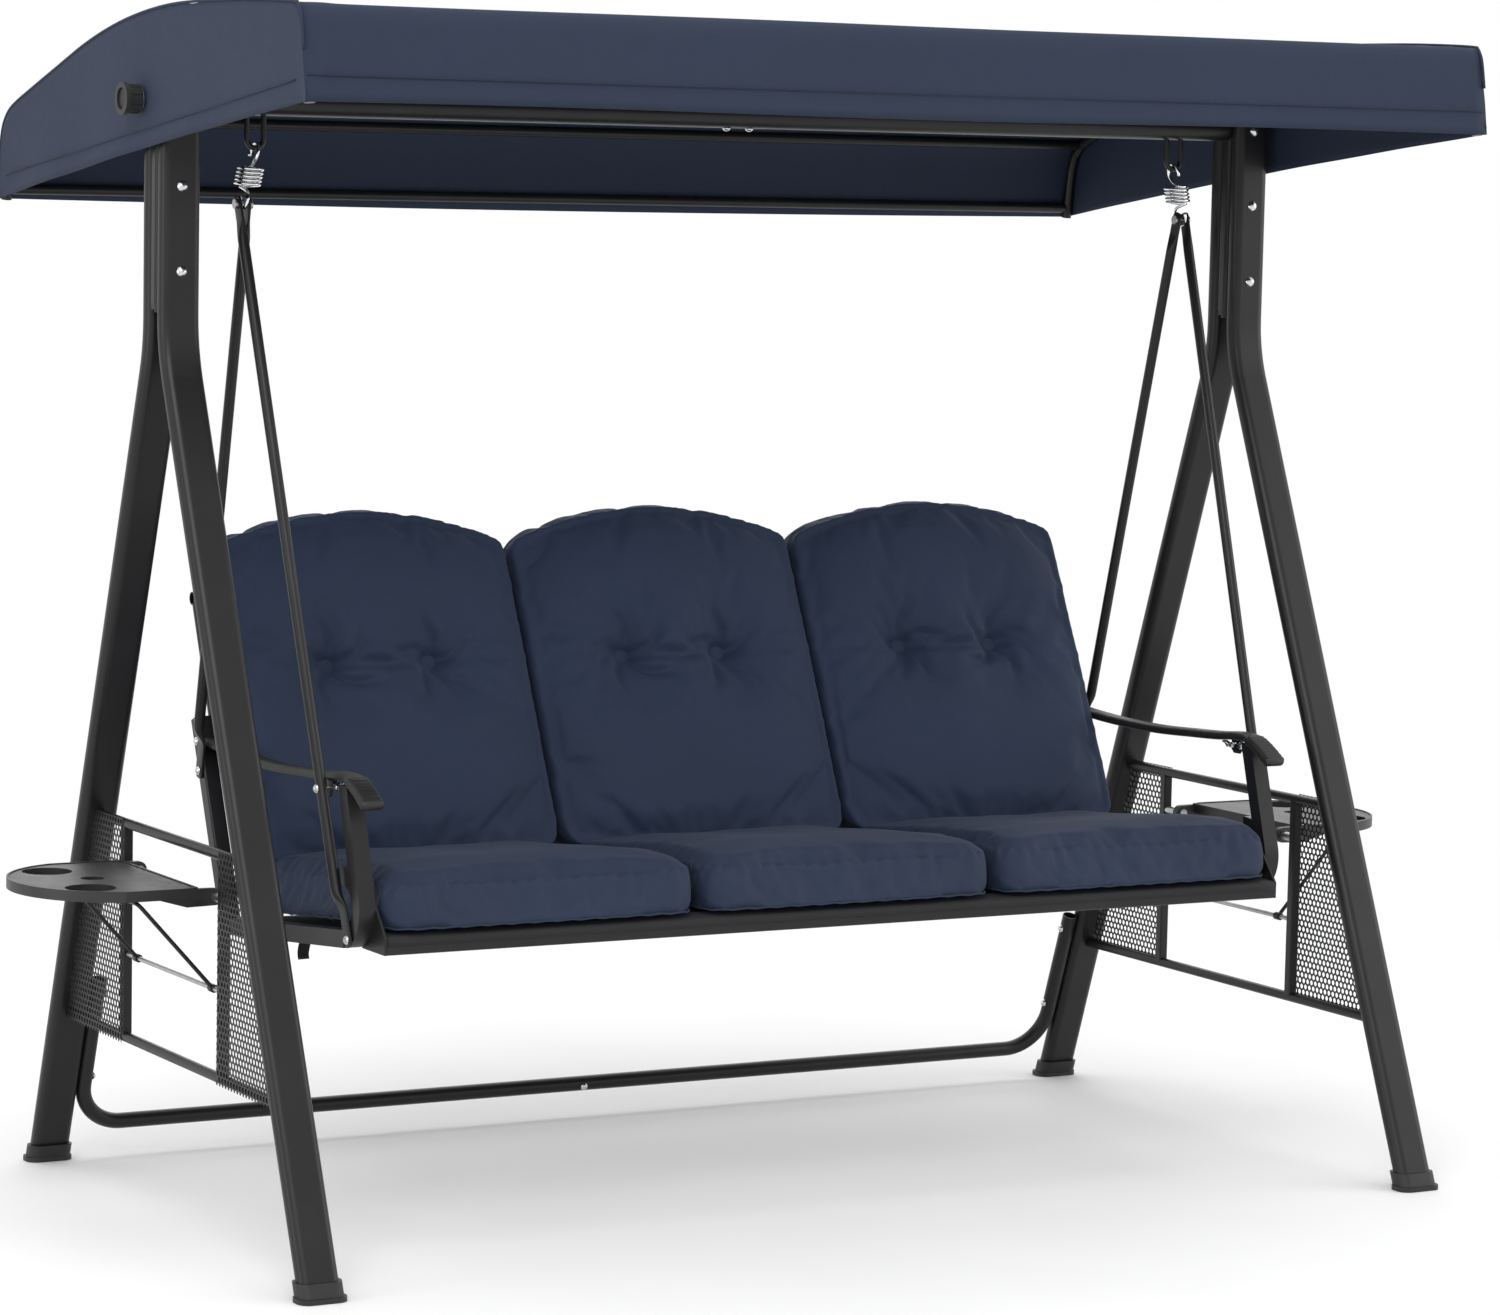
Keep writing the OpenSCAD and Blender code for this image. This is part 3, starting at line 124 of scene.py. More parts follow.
class Tree:
    """Small helper that builds one material's nodes."""

    def __init__(self, name):
        self.mat = bpy.data.materials.new(name)
        self.mat.use_nodes = True
        self.t = self.mat.node_tree
        self.shader = self.t.nodes["Principled BSDF"]
        self.coord = self.t.nodes.new("ShaderNodeTexCoord").outputs["Object"]

    def set(self, **values):
        for key, value in values.items():
            self.shader.inputs[key.replace("_", " ")].default_value = value

    def scaled(self, scale):
        n = self.t.nodes.new("ShaderNodeMapping")
        n.inputs["Scale"].default_value = scale
        self.t.links.new(self.coord, n.inputs["Vector"])
        return n.outputs["Vector"]

    def noise(self, scale, detail=2.0, stretch=(1, 1, 1), rough=0.5):
        n = self.t.nodes.new("ShaderNodeTexNoise")
        n.inputs["Scale"].default_value = scale
        n.inputs["Detail"].default_value = detail
        n.inputs["Roughness"].default_value = rough
        self.t.links.new(self.scaled(stretch), n.inputs["Vector"])
        return n.outputs["Fac"]

    def wave(self, scale, direction):
        n = self.t.nodes.new("ShaderNodeTexWave")
        n.wave_type = "BANDS"
        n.bands_direction = direction
        n.inputs["Scale"].default_value = scale
        self.t.links.new(self.coord, n.inputs["Vector"])
        return n.outputs["Fac"]

    def math(self, op, a, b):
        n = self.t.nodes.new("ShaderNodeMath")
        n.operation = op
        for i, v in enumerate((a, b)):
            if isinstance(v, (int, float)):
                n.inputs[i].default_value = v
            else:
                self.t.links.new(v, n.inputs[i])
        return n.outputs[0]

    def ramp(self, fac, stops):
        n = self.t.nodes.new("ShaderNodeValToRGB")
        while len(n.color_ramp.elements) < len(stops):
            n.color_ramp.elements.new(0.5)
        for e, (place, colour) in zip(n.color_ramp.elements, stops):
            e.position = place
            e.color = (*colour, 1.0)
        self.t.links.new(fac, n.inputs["Fac"])
        return n.outputs["Color"]

    def colour(self, socket):
        self.t.links.new(socket, self.shader.inputs["Base Color"])

    def rough(self, fac, low, high):
        n = self.t.nodes.new("ShaderNodeMapRange")
        n.inputs["To Min"].default_value = low
        n.inputs["To Max"].default_value = high
        self.t.links.new(fac, n.inputs["Value"])
        self.t.links.new(n.outputs["Result"], self.shader.inputs["Roughness"])

    def bump(self, height, strength, distance):
        n = self.t.nodes.new("ShaderNodeBump")
        n.inputs["Strength"].default_value = strength
        n.inputs["Distance"].default_value = distance
        self.t.links.new(height, n.inputs["Height"])
        self.t.links.new(n.outputs["Normal"], self.shader.inputs["Normal"])


def shade(base, k):
    return tuple(c * k for c in base)


def cloth_mat(name, base, sheen=0.25, mottle=0.16):
    m = Tree(name)
    m.set(Sheen_Weight=sheen, Sheen_Roughness=0.45)
    m.shader.inputs["Sheen Tint"].default_value = (0.55, 0.65, 0.9, 1.0)
    warp = m.noise(260, 2.0, (1.0, 0.16, 0.16))
    weft = m.noise(260, 2.0, (0.16, 1.0, 1.0))
    cloud = m.noise(4.0, 3.0)
    slub = m.math("ADD", m.math("MULTIPLY", warp, 0.5), m.math("MULTIPLY", weft, 0.5))
    mix = m.math("ADD", m.math("MULTIPLY", slub, 0.55), m.math("MULTIPLY", cloud, 0.45))
    m.colour(m.ramp(mix, [(0.32, shade(base, 1 - mottle)), (0.5, base), (0.68, shade(base, 1 + mottle))]))
    m.rough(slub, 0.72, 0.92)
    weave = m.math("ADD", m.wave(150, "X"), m.wave(150, "Z"))
    m.bump(m.math("ADD", m.math("MULTIPLY", weave, 0.3), slub), 0.28, 0.0011)
    return m.mat


def paint_mat(name, base, low=0.30, high=0.44):
    m = Tree(name)
    m.set(Specular_IOR_Level=0.32)
    cloud = m.noise(9.0, 4.0)
    m.colour(m.ramp(cloud, [(0.3, shade(base, 0.86)), (0.55, base), (0.75, shade(base, 1.22))]))
    m.rough(m.noise(22.0, 4.0), low, high)
    m.bump(m.noise(900, 2.0), 0.12, 0.0004)
    return m.mat


def plastic_mat(name, base, low=0.45, high=0.62):
    m = Tree(name)
    grain = m.noise(620, 3.0, (1, 1, 1), 0.6)
    m.colour(m.ramp(m.noise(14.0, 3.0), [(0.3, shade(base, 0.85)), (0.7, shade(base, 1.2))]))
    m.rough(m.noise(40.0, 3.0), low, high)
    m.bump(grain, 0.30, 0.0006)
    return m.mat


def metal_mat(name, base, low, high):
    m = Tree(name)
    m.set(Metallic=1.0)
    m.colour(m.ramp(m.noise(60.0, 3.0), [(0.3, shade(base, 0.82)), (0.7, base)]))
    m.rough(m.noise(150.0, 3.0), low, high)
    m.bump(m.noise(500.0, 2.0), 0.05, 0.0003)
    return m.mat


NAVY = (0.0088, 0.0200, 0.0520)
MATS = {
    "frame_paint": paint_mat("frame_paint", (0.010, 0.010, 0.011)),
    "panel_mesh": paint_mat("panel_mesh", (0.014, 0.014, 0.015), 0.36, 0.5),
    "black_plastic": plastic_mat("black_plastic", (0.009, 0.009, 0.009)),
    "tray_plastic": plastic_mat("tray_plastic", (0.013, 0.013, 0.014), 0.38, 0.52),
    "zinc_steel": metal_mat("zinc_steel", (0.48, 0.48, 0.49), 0.28, 0.42),
    "bright_steel": metal_mat("bright_steel", (0.72, 0.72, 0.73), 0.2, 0.32),
    "spring_chrome": metal_mat("spring_chrome", (0.86, 0.87, 0.88), 0.07, 0.15),
    "canopy_cloth": cloth_mat("canopy_cloth", shade(NAVY, 0.78), 0.04, 0.12),
    "seat_cloth": cloth_mat("seat_cloth", shade(NAVY, 0.86), 0.05),
    "back_cloth": cloth_mat("back_cloth", shade(NAVY, 1.0), 0.07),
    "sling_cloth": cloth_mat("sling_cloth", (0.009, 0.009, 0.010), 0.04, 0.25),
}
THREAD = cloth_mat("thread", shade(NAVY, 0.45), 0.05)

for part in frame["record"]["subparts"]:
    obj = nodes[part["node"]]
    obj.data.materials.clear()
    obj.data.materials.append(MATS[part["material_slot"]])


# ---------- floor ----------

FLOOR_HALF = 30.0
FADE_FROM, FADE_TO = 1.2, 3.0


def add_floor():
    """A pale floor that fades into the white surround away from the swing."""
    m = Tree("floor")
    m.colour(m.ramp(m.noise(3.0, 2.0), [(0.2, (0.83, 0.83, 0.83)), (0.8, (0.86, 0.86, 0.86))]))
    m.set(Roughness=0.9)
    spread = m.t.nodes.new("ShaderNodeVectorMath")
    spread.operation = "LENGTH"
    fade = m.t.nodes.new("ShaderNodeMapRange")
    fade.interpolation_type = "SMOOTHSTEP"
    fade.inputs["From Min"].default_value = FADE_FROM
    fade.inputs["From Max"].default_value = FADE_TO
    glow = m.t.nodes.new("ShaderNodeEmission")
    mix = m.t.nodes.new("ShaderNodeMixShader")
    surface = m.t.nodes["Material Output"].inputs["Surface"]
    for source, target in (
            (m.coord, spread.inputs[0]), (spread.outputs["Value"], fade.inputs["Value"]),
            (fade.outputs["Result"], mix.inputs["Fac"]), (m.shader.outputs["BSDF"], mix.inputs[1]),
            (glow.outputs["Emission"], mix.inputs[2]), (mix.outputs["Shader"], surface)):
        m.t.links.new(source, target)
    corners = [(x * FLOOR_HALF, y * FLOOR_HALF, -0.0005) for x, y in ((-1, -1), (1, -1), (1, 1), (-1, 1))]
    mesh = bpy.data.meshes.new("floor")
    mesh.from_pydata(corners, [], [(0, 1, 2, 3)])
    mesh.materials.append(m.mat)
    floor = bpy.data.objects.new("floor", mesh)
    scene.collection.objects.link(floor)


add_floor()


# ---------- mesh helpers ----------

def make(name, verts, faces, mat):
    mesh = bpy.data.meshes.new(name)
    mesh.from_pydata([tuple(v) for v in verts], [], faces)
    mesh.materials.append(mat)
    mesh.polygons.foreach_set("use_smooth", [True] * len(mesh.polygons))
    mesh.update()
    obj = bpy.data.objects.new(name, mesh)
    scene.collection.objects.link(obj)
    return obj


def modify(obj, kind, **values):
    mod = obj.modifiers.new(kind.lower(), kind)
    for key, value in values.items():
        setattr(mod, key, value)
    return mod


def bake(obj):
    """Puts the modified shape into the mesh and drops the modifiers."""
    deps = bpy.context.evaluated_depsgraph_get()
    mesh = bpy.data.meshes.new_from_object(obj.evaluated_get(deps))
    old = obj.data
    obj.modifiers.clear()
    obj.data = mesh
    if old.users == 0:
        bpy.data.meshes.remove(old)
    return obj


def rings_tube(points, ring_of, closed=False):
    """Verts and faces of a tube whose cross-section at point i is ring_of(i), a list of (u, v)."""
    pts = [Vector(p) for p in points]
    n = len(pts)
    tangents = []
    for i in range(n):
        a = pts[(i - 1) % n] if closed or i else pts[0]
        b = pts[(i + 1) % n] if closed or i < n - 1 else pts[-1]
        tangents.append((b - a).normalized())
    side = Vector((1, 0, 0)) - tangents[0] * tangents[0].x
    if side.length < 0.1:
        side = Vector((0, 1, 0)) - tangents[0] * tangents[0].y
    side.normalize()
    verts = []
    for i in range(n):
        side = (side - tangents[i] * side.dot(tangents[i])).normalized()
        other = tangents[i].cross(side)
        ring = ring_of(i)
        k = len(ring)
        verts += [pts[i] + side * u + other * v for u, v in ring]
    faces = []
    last = n if closed else n - 1
    for i in range(last):
        a, b = i * k, ((i + 1) % n) * k
        faces += [(a + j, a + (j + 1) % k, b + (j + 1) % k, b + j) for j in range(k)]
    if not closed:
        faces.append(tuple(range(k))[::-1])
        faces.append(tuple((n - 1) * k + j for j in range(k)))
    return verts, faces


def circle_ring(r, k):
    return [(r * math.cos(2 * math.pi * j / k), r * math.sin(2 * math.pi * j / k)) for j in range(k)]


def round_rect_ring(w, d, r, k=4):
    """A rounded rectangle; w runs along the first direction."""
    out = []
    for cx, cy, start in ((1, 1, 0), (-1, 1, 90), (-1, -1, 180), (1, -1, 270)):
        for j in range(k + 1):
            a = math.radians(start + 90 * j / k)
            out.append((cx * (w / 2 - r) + r * math.cos(a), cy * (d / 2 - r) + r * math.sin(a)))
    return out


def tube(name, points, radius, mat, sides=12, closed=False):
    verts, faces = rings_tube(points, lambda i: circle_ring(radius, sides), closed)
    return make(name, verts, faces, mat)


def joined(name, objects):
    """One object from several; the first one's materials come first."""
    bm = bmesh.new()
    mats = []
    for o in objects:
        for m in o.data.materials:
            if m not in mats:
                mats.append(m)
    for o in objects:
        index = mats.index(o.data.materials[0])
        start = len(bm.faces)
        bm.from_mesh(o.data)
        bm.faces.ensure_lookup_table()
        for f in bm.faces[start:]:
            f.material_index = index
            f.smooth = True
    mesh = bpy.data.meshes.new(name)
    bm.to_mesh(mesh)
    bm.free()
    for m in mats:
        mesh.materials.append(m)
    for o in objects:
        bpy.data.objects.remove(o)
    obj = bpy.data.objects.new(name, mesh)
    scene.collection.objects.link(obj)
    return obj


def finish_piece(obj, body, slot, *replaced):
    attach(obj, body)
    if replaced:
        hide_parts(*replaced)
    return obj


def lerp(a, b, t):
    return a + (b - a) * t


def smooth_step(a, b, x):
    t = min(1.0, max(0.0, (x - a) / (b - a)))
    return t * t * (3 - 2 * t)


def smooth_curve(points, steps):
    """A smooth curve through the given points, with so many steps from each to the next."""
    out = []
    last = len(points) - 1
    for i in range(last):
        p = [points[max(0, i - 1)], points[i], points[i + 1], points[min(last, i + 2)]]
        for j in range(steps):
            t = j / steps
            out.append(tuple(
                0.5 * (2 * p[1][k] + (p[2][k] - p[0][k]) * t
                       + (2 * p[0][k] - 5 * p[1][k] + 4 * p[2][k] - p[3][k]) * t * t
                       + (3 * p[1][k] - p[0][k] - 3 * p[2][k] + p[3][k]) * t ** 3)
                for k in range(2)))
    out.append(points[-1])
    return out


def bezier(a, b, c, d, steps):
    """The points between a and d on the curve that b and c pull."""
    out = []
    for k in range(1, steps):
        t = k / steps
        out.append((1 - t) ** 3 * a + 3 * (1 - t) ** 2 * t * b + 3 * (1 - t) * t * t * c + t ** 3 * d)
    return out


CLOTH_T = 0.0016   # thickness of the canopy's and the slings' cloth
THREAD_R = 0.0009  # radius of a line of stitches


# ---------- canopy ----------

# the cover's side outline: front-to-back place and height, in metres, front hem first
OUTLINE = [
    (-0.579, 1.609), (-0.566, 1.690), (-0.559, 1.722), (-0.552, 1.733), (-0.540, 1.739), (-0.420, 1.744),
    (-0.300, 1.746), (-0.200, 1.746), (-0.100, 1.743), (0.000, 1.734), (0.100, 1.719), (0.210, 1.695),
    (0.330, 1.661), (0.430, 1.632), (0.500, 1.611), (0.533, 1.597), (0.555, 1.577), (0.566, 1.550),
    (0.571, 1.520), (0.579, 1.467)]


def along_outline(count):
    """Evenly spaced points along a smooth curve through OUTLINE, and its length."""
    dense = smooth_curve(OUTLINE, 12)
    run = [0.0]
    for a, b in zip(dense, dense[1:]):
        run.append(run[-1] + math.dist(a, b))
    out, j = [], 0
    for i in range(count):
        s = run[-1] * i / (count - 1)
        while j < len(run) - 2 and run[j + 1] < s:
            j += 1
        t = (s - run[j]) / max(1e-9, run[j + 1] - run[j])
        out.append((lerp(dense[j][0], dense[j + 1][0], t), lerp(dense[j][1], dense[j + 1][1], t)))
    return out, run[-1]


# the cover rests on tubes at these shares of its outline
HOLDS = [0.0, 0.105, 0.52, 0.905, 1.0]
CANOPY_COLUMNS = 97
FLAP_ROWS = 16
TILT_Z = 1.614  # height of the knobs, where the flaps are pinched


def slack(t):
    """How freely the cover hangs at t along its outline."""
    for a, b in zip(HOLDS, HOLDS[1:]):
        if a <= t <= b:
            return math.sin(math.pi * (t - a) / (b - a)) * min(1.0, (b - a) / 0.4)
    return 0.0


def inward_normals(prof):
    out = []
    for i in range(len(prof)):
        a, b = prof[max(0, i - 1)], prof[min(len(prof) - 1, i + 1)]
        d = Vector((b[0] - a[0], b[1] - a[1])).normalized()
        out.append(Vector((d.y, -d.x)))
    return out


def canopy_top(prof, inward, half):
    """Verts and faces of the cover's top, row by row from the front hem to the rear one."""
    verts, faces = [], []
    n, nx = len(prof), CANOPY_COLUMNS
    for i in range(n):
        t = i / (n - 1)
        for j in range(nx):
            x = lerp(-half, half, j / (nx - 1))
            free = smooth_step(0.0, 0.16, 1 - abs(x) / half)
            drop = 0.009 * slack(t) * free
            # long soft pulls across the cover, and short ones near its corners
            drop += 0.0016 * free * (noise.noise(Vector((x * 2.2, t * 13, 3.1))) + 0.6)
            drop += 0.0022 * (1 - free) * (noise.noise(Vector((x * 30, t * 24, 8.0))) + 0.5)
            y, z = prof[i][0] + inward[i].x * drop, prof[i][1] + inward[i].y * drop
            # the loose rear hem hangs a little lower in the middle, the front one stays straight
            if t > 0.95:
                z -= 0.005 * smooth_step(0.95, 1.0, t) * math.cos(math.pi * x / half / 2)
            if t < 0.10:
                z -= 0.0015 * (1 - t / 0.10) * math.cos(math.pi * x / half * 1.5)
            verts.append((x, y, z))
    for i in range(n - 1):
        for j in range(nx - 1):
            a = i * nx + j
            faces.append((a, a + 1, a + nx + 1, a + nx))
    return verts, faces


def add_flap(verts, faces, prof, half, s):
    """Hangs the side flap on side s from the top's edge down to a line between the two hems."""
    n = len(prof)
    front, rear = prof[0], prof[-1]
    index = {}
    for i in range(n):
        index[(i, 0)] = i * CANOPY_COLUMNS + (0 if s < 0 else CANOPY_COLUMNS - 1)
        y0, z0 = prof[i]
        u = i / (n - 1)
        hem = Vector((lerp(front[0], rear[0], u), lerp(front[1], rear[1], u)))
        hem.y += 0.006 * math.sin(math.pi * u)
        for r in range(1, FLAP_ROWS + 1):
            if i in (0, n - 1):
                index[(i, r)] = index[(i, 0)]
                continue
            v = r / FLAP_ROWS
            y, z = lerp(y0, hem.x, v), lerp(z0, hem.y, v)
            wave = 0.0016 * (noise.noise(Vector((y * 7, z * 5, 2.0 * s))) - 0.4) * v
            wave += 0.0012 * math.sin(y * 23 + s) * v * v
            pinch = math.exp(-((y * y + (z - TILT_Z) ** 2) / 0.0018))
            index[(i, r)] = len(verts)
            verts.append((s * (half - 0.0012 * v) + s * wave - s * 0.001 * pinch, y, z))
    for i in range(n - 1):
        for r in range(FLAP_ROWS):
            quad = [index[(a, b)] for a, b in ((i, r), (i + 1, r), (i + 1, r + 1), (i, r + 1))]
            face = []
            for q in quad if s < 0 else quad[::-1]:
                if q not in face:
                    face.append(q)
            if len(face) > 2:
                faces.append(tuple(face))


def canopy_trim(prof, inward, half):
    """Rolled seams, the flaps' stitched hems, and the stitches along the front and rear hems."""
    front, rear = prof[0], prof[-1]
    parts = []
    for s in (-1, 1):
        seam = [(s * (half - 0.0005), p[0], p[1] + 0.0005) for p in prof[6:-2]]
        parts.append(tube("seam", seam, 0.0021, MATS["canopy_cloth"], 8))
        hem = []
        for k in range(41):
            u = 0.03 + 0.94 * k / 40
            hem.append((s * (half + 0.0002), lerp(front[0], rear[0], u), lerp(front[1], rear[1], u) + 0.032))
        parts.append(tube("hem", hem, THREAD_R, THREAD, 6))
    reach = half - 0.004
    for i in (3, len(prof) - 4):
        y, z = prof[i][0] - inward[i].x * 0.0004, prof[i][1] - inward[i].y * 0.0004
        stitches = [(lerp(-reach, reach, k / 60), y, z) for k in range(61)]
        parts.append(tube("hem", stitches, THREAD_R, THREAD, 6))
    return joined("canopy_seams", parts)


def build_canopy():
    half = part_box("canopy_cover")[1][0] - 0.0015
    prof, run = along_outline(121)
    inward = inward_normals(prof)
    verts, faces = canopy_top(prof, inward, half)
    for s in (-1, 1):
        add_flap(verts, faces, prof, half, s)
    cover = make("canopy_cloth", verts, faces, MATS["canopy_cloth"])
    modify(cover, "SOLIDIFY", thickness=CLOTH_T, offset=-1.0)
    bake(cover)
    trim = canopy_trim(prof, inward, half)
    finish_piece(cover, "canopy", "canopy_cloth", "canopy_cover")
    finish_piece(trim, "canopy", "canopy_cloth")


# ---------- cushions ----------

def simulate(obj, pinned, pressure, frames, cap, shrink):
    """Inflates obj with Blender's cloth; pinned(co) gives how firmly a point is held."""
    start = [v.co.copy() for v in obj.data.vertices]
    group = obj.vertex_groups.new(name="held")
    for v in obj.data.vertices:
        w = pinned(v.co)
        if w > 0:
            group.add([v.index], w, "REPLACE")
    mod = obj.modifiers.new("cloth", "CLOTH")
    st = mod.settings
    st.quality = 5
    st.mass = 0.3
    st.use_pressure = True
    st.uniform_pressure_force = pressure
    st.shrink_min = shrink
    st.vertex_group_mass = "held"
    st.tension_stiffness = 15
    st.compression_stiffness = 15
    st.bending_stiffness = 0.6
    st.effector_weights.gravity = 0
    mod.collision_settings.use_collision = False
    mod.collision_settings.use_self_collision = False
    mod.point_cache.frame_start = 1
    mod.point_cache.frame_end = frames
    for f in range(1, frames + 1):
        scene.frame_set(f)
    deps = bpy.context.evaluated_depsgraph_get()
    shape = obj.evaluated_get(deps).to_mesh()
    moved = [v.co.copy() for v in shape.vertices]
    obj.evaluated_get(deps).to_mesh_clear()
    obj.modifiers.clear()
    scene.frame_set(1)
    for v, a, b in zip(obj.data.vertices, start, moved):
        d = b - a
        if d.length > cap:
            d *= cap / d.length * (1 + 0.15 * (1 - cap / d.length))
        v.co = a + d
    obj.vertex_groups.clear()
    obj.data.update()


def remesh(obj, size):
    modify(obj, "REMESH", mode="VOXEL", voxel_size=size, use_smooth_shade=True)
    return bake(obj)


def relax(obj, count, factor):
    modify(obj, "SMOOTH", factor=factor, iterations=count)
    return bake(obj)


def outline_points(w, top, arch, r, k=7):
    """A cushion's face outline: a rounded rectangle whose upper edge may arch by arch. x across, s up."""
    pts = []
    h = top - arch
    for cx, cy, start in ((-1, 0, 180), (1, 0, 270)):
        for j in range(k):
            a = math.radians(start + 90 * j / (k - 1))
            pts.append((cx * (w / 2 - r) + r * math.cos(a), r + r * math.sin(a)))
    steps = 24
    if arch > 0:
        radius = ((w / 2) ** 2 + arch ** 2) / (2 * arch)
        for j in range(steps + 1):
            x = lerp(w / 2, -w / 2, j / steps)
            pts.append((x, h - radius + arch + math.sqrt(radius ** 2 - x * x)))
    else:
        for cx, start in ((1, 0), (-1, 90)):
            for j in range(k):
                a = math.radians(start + 90 * j / (k - 1))
                pts.append((cx * (w / 2 - r) + r * math.cos(a), h - r + r * math.sin(a)))
    return pts


def resample(points, count):
    pts = [Vector(p) for p in points]
    run = [0.0]
    for i in range(len(pts)):
        run.append(run[-1] + (pts[(i + 1) % len(pts)] - pts[i]).length)
    out, j = [], 0
    for i in range(count):
        s = run[-1] * i / count
        while run[j + 1] < s:
            j += 1
        t = (s - run[j]) / max(1e-9, run[j + 1] - run[j])
        out.append(pts[j].lerp(pts[(j + 1) % len(pts)], t))
    return out


def soften_corners(points, rounds=3):
    pts = [Vector(p) for p in points]
    for _ in range(rounds):
        pts = [(pts[i - 1] + 2 * pts[i] + pts[(i + 1) % len(pts)]) / 4 for i in range(len(pts))]
    return pts


def block(name, outline, depth, mat):
    """A closed form of the outline's shape; x and s across the face, t through it from 0 to depth."""
    n = len(outline)
    centre = sum((Vector(p) for p in outline), Vector((0, 0))) / n
    verts, faces = [], []
    for t in (0.0, depth):
        verts += [(p[0], p[1], t) for p in outline]
    verts += [(centre.x, centre.y, 0.0), (centre.x, centre.y, depth)]
    for i in range(n):
        j = (i + 1) % n
        faces.append((i, j, n + j, n + i))
        faces.append((j, i, 2 * n))
        faces.append((n + i, n + j, 2 * n + 1))
    return make(name, verts, faces, mat)


def cushion_shape(name, w, h, depth, arch, mat, tufts, voxel, seed, is_back):
    """Builds, inflates and creases one cushion in its own (x, s, t) space; returns it and its outline."""
    inset = 0.003 if is_back else 0.005
    outline = outline_points(w - 2 * inset, h - inset, arch, 0.028 if arch else 0.038)
    outline = soften_corners(resample(outline, 160), 2 if is_back else 4)
    d = depth - 2 * inset
    outward = []
    for i in range(len(outline)):
        along = (outline[(i + 1) % len(outline)] - outline[i - 1]).normalized()
        outward.append(Vector((along.y, -along.x)))
    obj = block(name, outline, d, mat)
    remesh(obj, voxel)
    relax(obj, 2, 0.5)

    def edge(co):
        """How far co lies inside the outline, and the way out."""
        best, k = 9.0, 0
        for i in range(0, len(outline), 2):
            p = outline[i]
            q = (co.x - p.x) ** 2 + (co.y - p.y) ** 2
            if q < best:
                best, k = q, i
        return math.sqrt(best), outward[k]

    if not is_back:
        # the upper edge has no seam: the cloth runs round it
        r = 0.024
        for v in obj.data.vertices:
            if v.co.z > d - r:
                near, out = edge(v.co)
                u, q = r - near, v.co.z - (d - r)
                if u > 0 and math.hypot(u, q) > r:
                    k = r / math.hypot(u, q)
                    v.co.x += out.x * u * (k - 1)
                    v.co.y += out.y * u * (k - 1)
                    v.co.z = d - r + q * k
    for v in obj.data.vertices:
        for tx, ts in tufts:
            r2 = (v.co.x - tx) ** 2 + (v.co.y - ts) ** 2
            v.co.z -= 0.038 * math.exp(-r2 / 0.0010) * smooth_step(d * 0.35, d, v.co.z)
    obj.data.update()

    def pinned(co):
        for tx, ts in tufts:
            if (co.x - tx) ** 2 + (co.y - ts) ** 2 < 0.012 ** 2 and co.z > d * 0.2:
                return 1.0
        seam = min(co.z, d - co.z) if is_back else co.z
        if seam < 0.009 and edge(co)[0] < 0.011:
            return 0.88
        if co.z < 0.006:
            return 0.75
        return 0.0

    simulate(obj, pinned, 4.2, 20, 0.020 if is_back else 0.013, -0.05)
    for v in obj.data.vertices:
        c = v.co
        near = edge(c)[0]
        face = smooth_step(0.01, 0.13, near)
        upper = c.z > d * 0.5
        if upper:
            c.z += 0.008 * face
        # gathers where the seam draws the cloth in
        seam_z = min(abs(c.z), abs(c.z - d)) if is_back else abs(c.z)
        gather = noise.noise(Vector((c.x * 62, c.y * 62, seed)))
        gather += 0.6 * noise.noise(Vector((c.x * 24, c.y * 24, seed)))
        c.z += (0.0008 if is_back else 0.0026) * gather * math.exp(-near / 0.022) * math.exp(-seam_z / 0.020)
        c.z += 0.0026 * noise.noise(Vector((c.x * 6 + seed, c.y * 6, 1.7))) * face * upper
        c.z += 0.0012 * noise.noise(Vector((c.x * 19 + seed, c.y * 14, 5.2))) * upper
        for k, (tx, ts) in enumerate(tufts):
            dx, ds = c.x - tx, c.y - ts
            r = math.hypot(dx, ds)
            if c.z > d * 0.2 and r > 1e-6:
                a = math.atan2(ds, dx) + 0.25 * math.sin(r * 60 + k)
                # a few sharp furrows run out from each button, with soft rises between them
                furrow = max(0.0, math.cos(5 * a + seed + k)) ** 5
                furrow += 0.6 * max(0.0, math.cos(3 * a - seed + 2 * k)) ** 9
                c.z += (0.0050 - 0.0190 * furrow) * math.exp(-((r - 0.038) / 0.030) ** 2)
        if len(tufts) > 1 and c.z > d * 0.2:
            # a sagging crease between the buttons, fainter out to the sides, with a soft lip above it
            (x0, s0), (x1, _) = tufts
            sag = 0.008 * math.sin(math.pi * min(1, max(0, (c.x - x0) / (x1 - x0))))
            inner = smooth_step(x0 - 0.02, x0, c.x) * (1 - smooth_step(x1, x1 + 0.02, c.x))
            outer = smooth_step(-w / 2 - 0.02, x0 - 0.03, c.x)
            outer *= 1 - smooth_step(x1 + 0.03, w / 2 + 0.02, c.x)
            line = c.y - (s0 - sag)
            c.z -= (0.012 * inner + 0.005 * outer * (1 - inner)) * math.exp(-(line / 0.0085) ** 2)
            c.z += (0.004 * inner + 0.002 * outer) * math.exp(-((line - 0.018) / 0.012) ** 2)
        c.x = max(-w / 2 + 0.0008, min(w / 2 - 0.0008, c.x))
    obj.data.update()
    relax(obj, 1, 0.4)
    modify(obj, "SUBSURF", levels=1, render_levels=1)
    bake(obj)
    for p in obj.data.polygons:
        p.use_smooth = True
    return obj, outline, inset


def place(obj, to_world):
    for v in obj.data.vertices:
        v.co = to_world(v.co)
    obj.data.update()


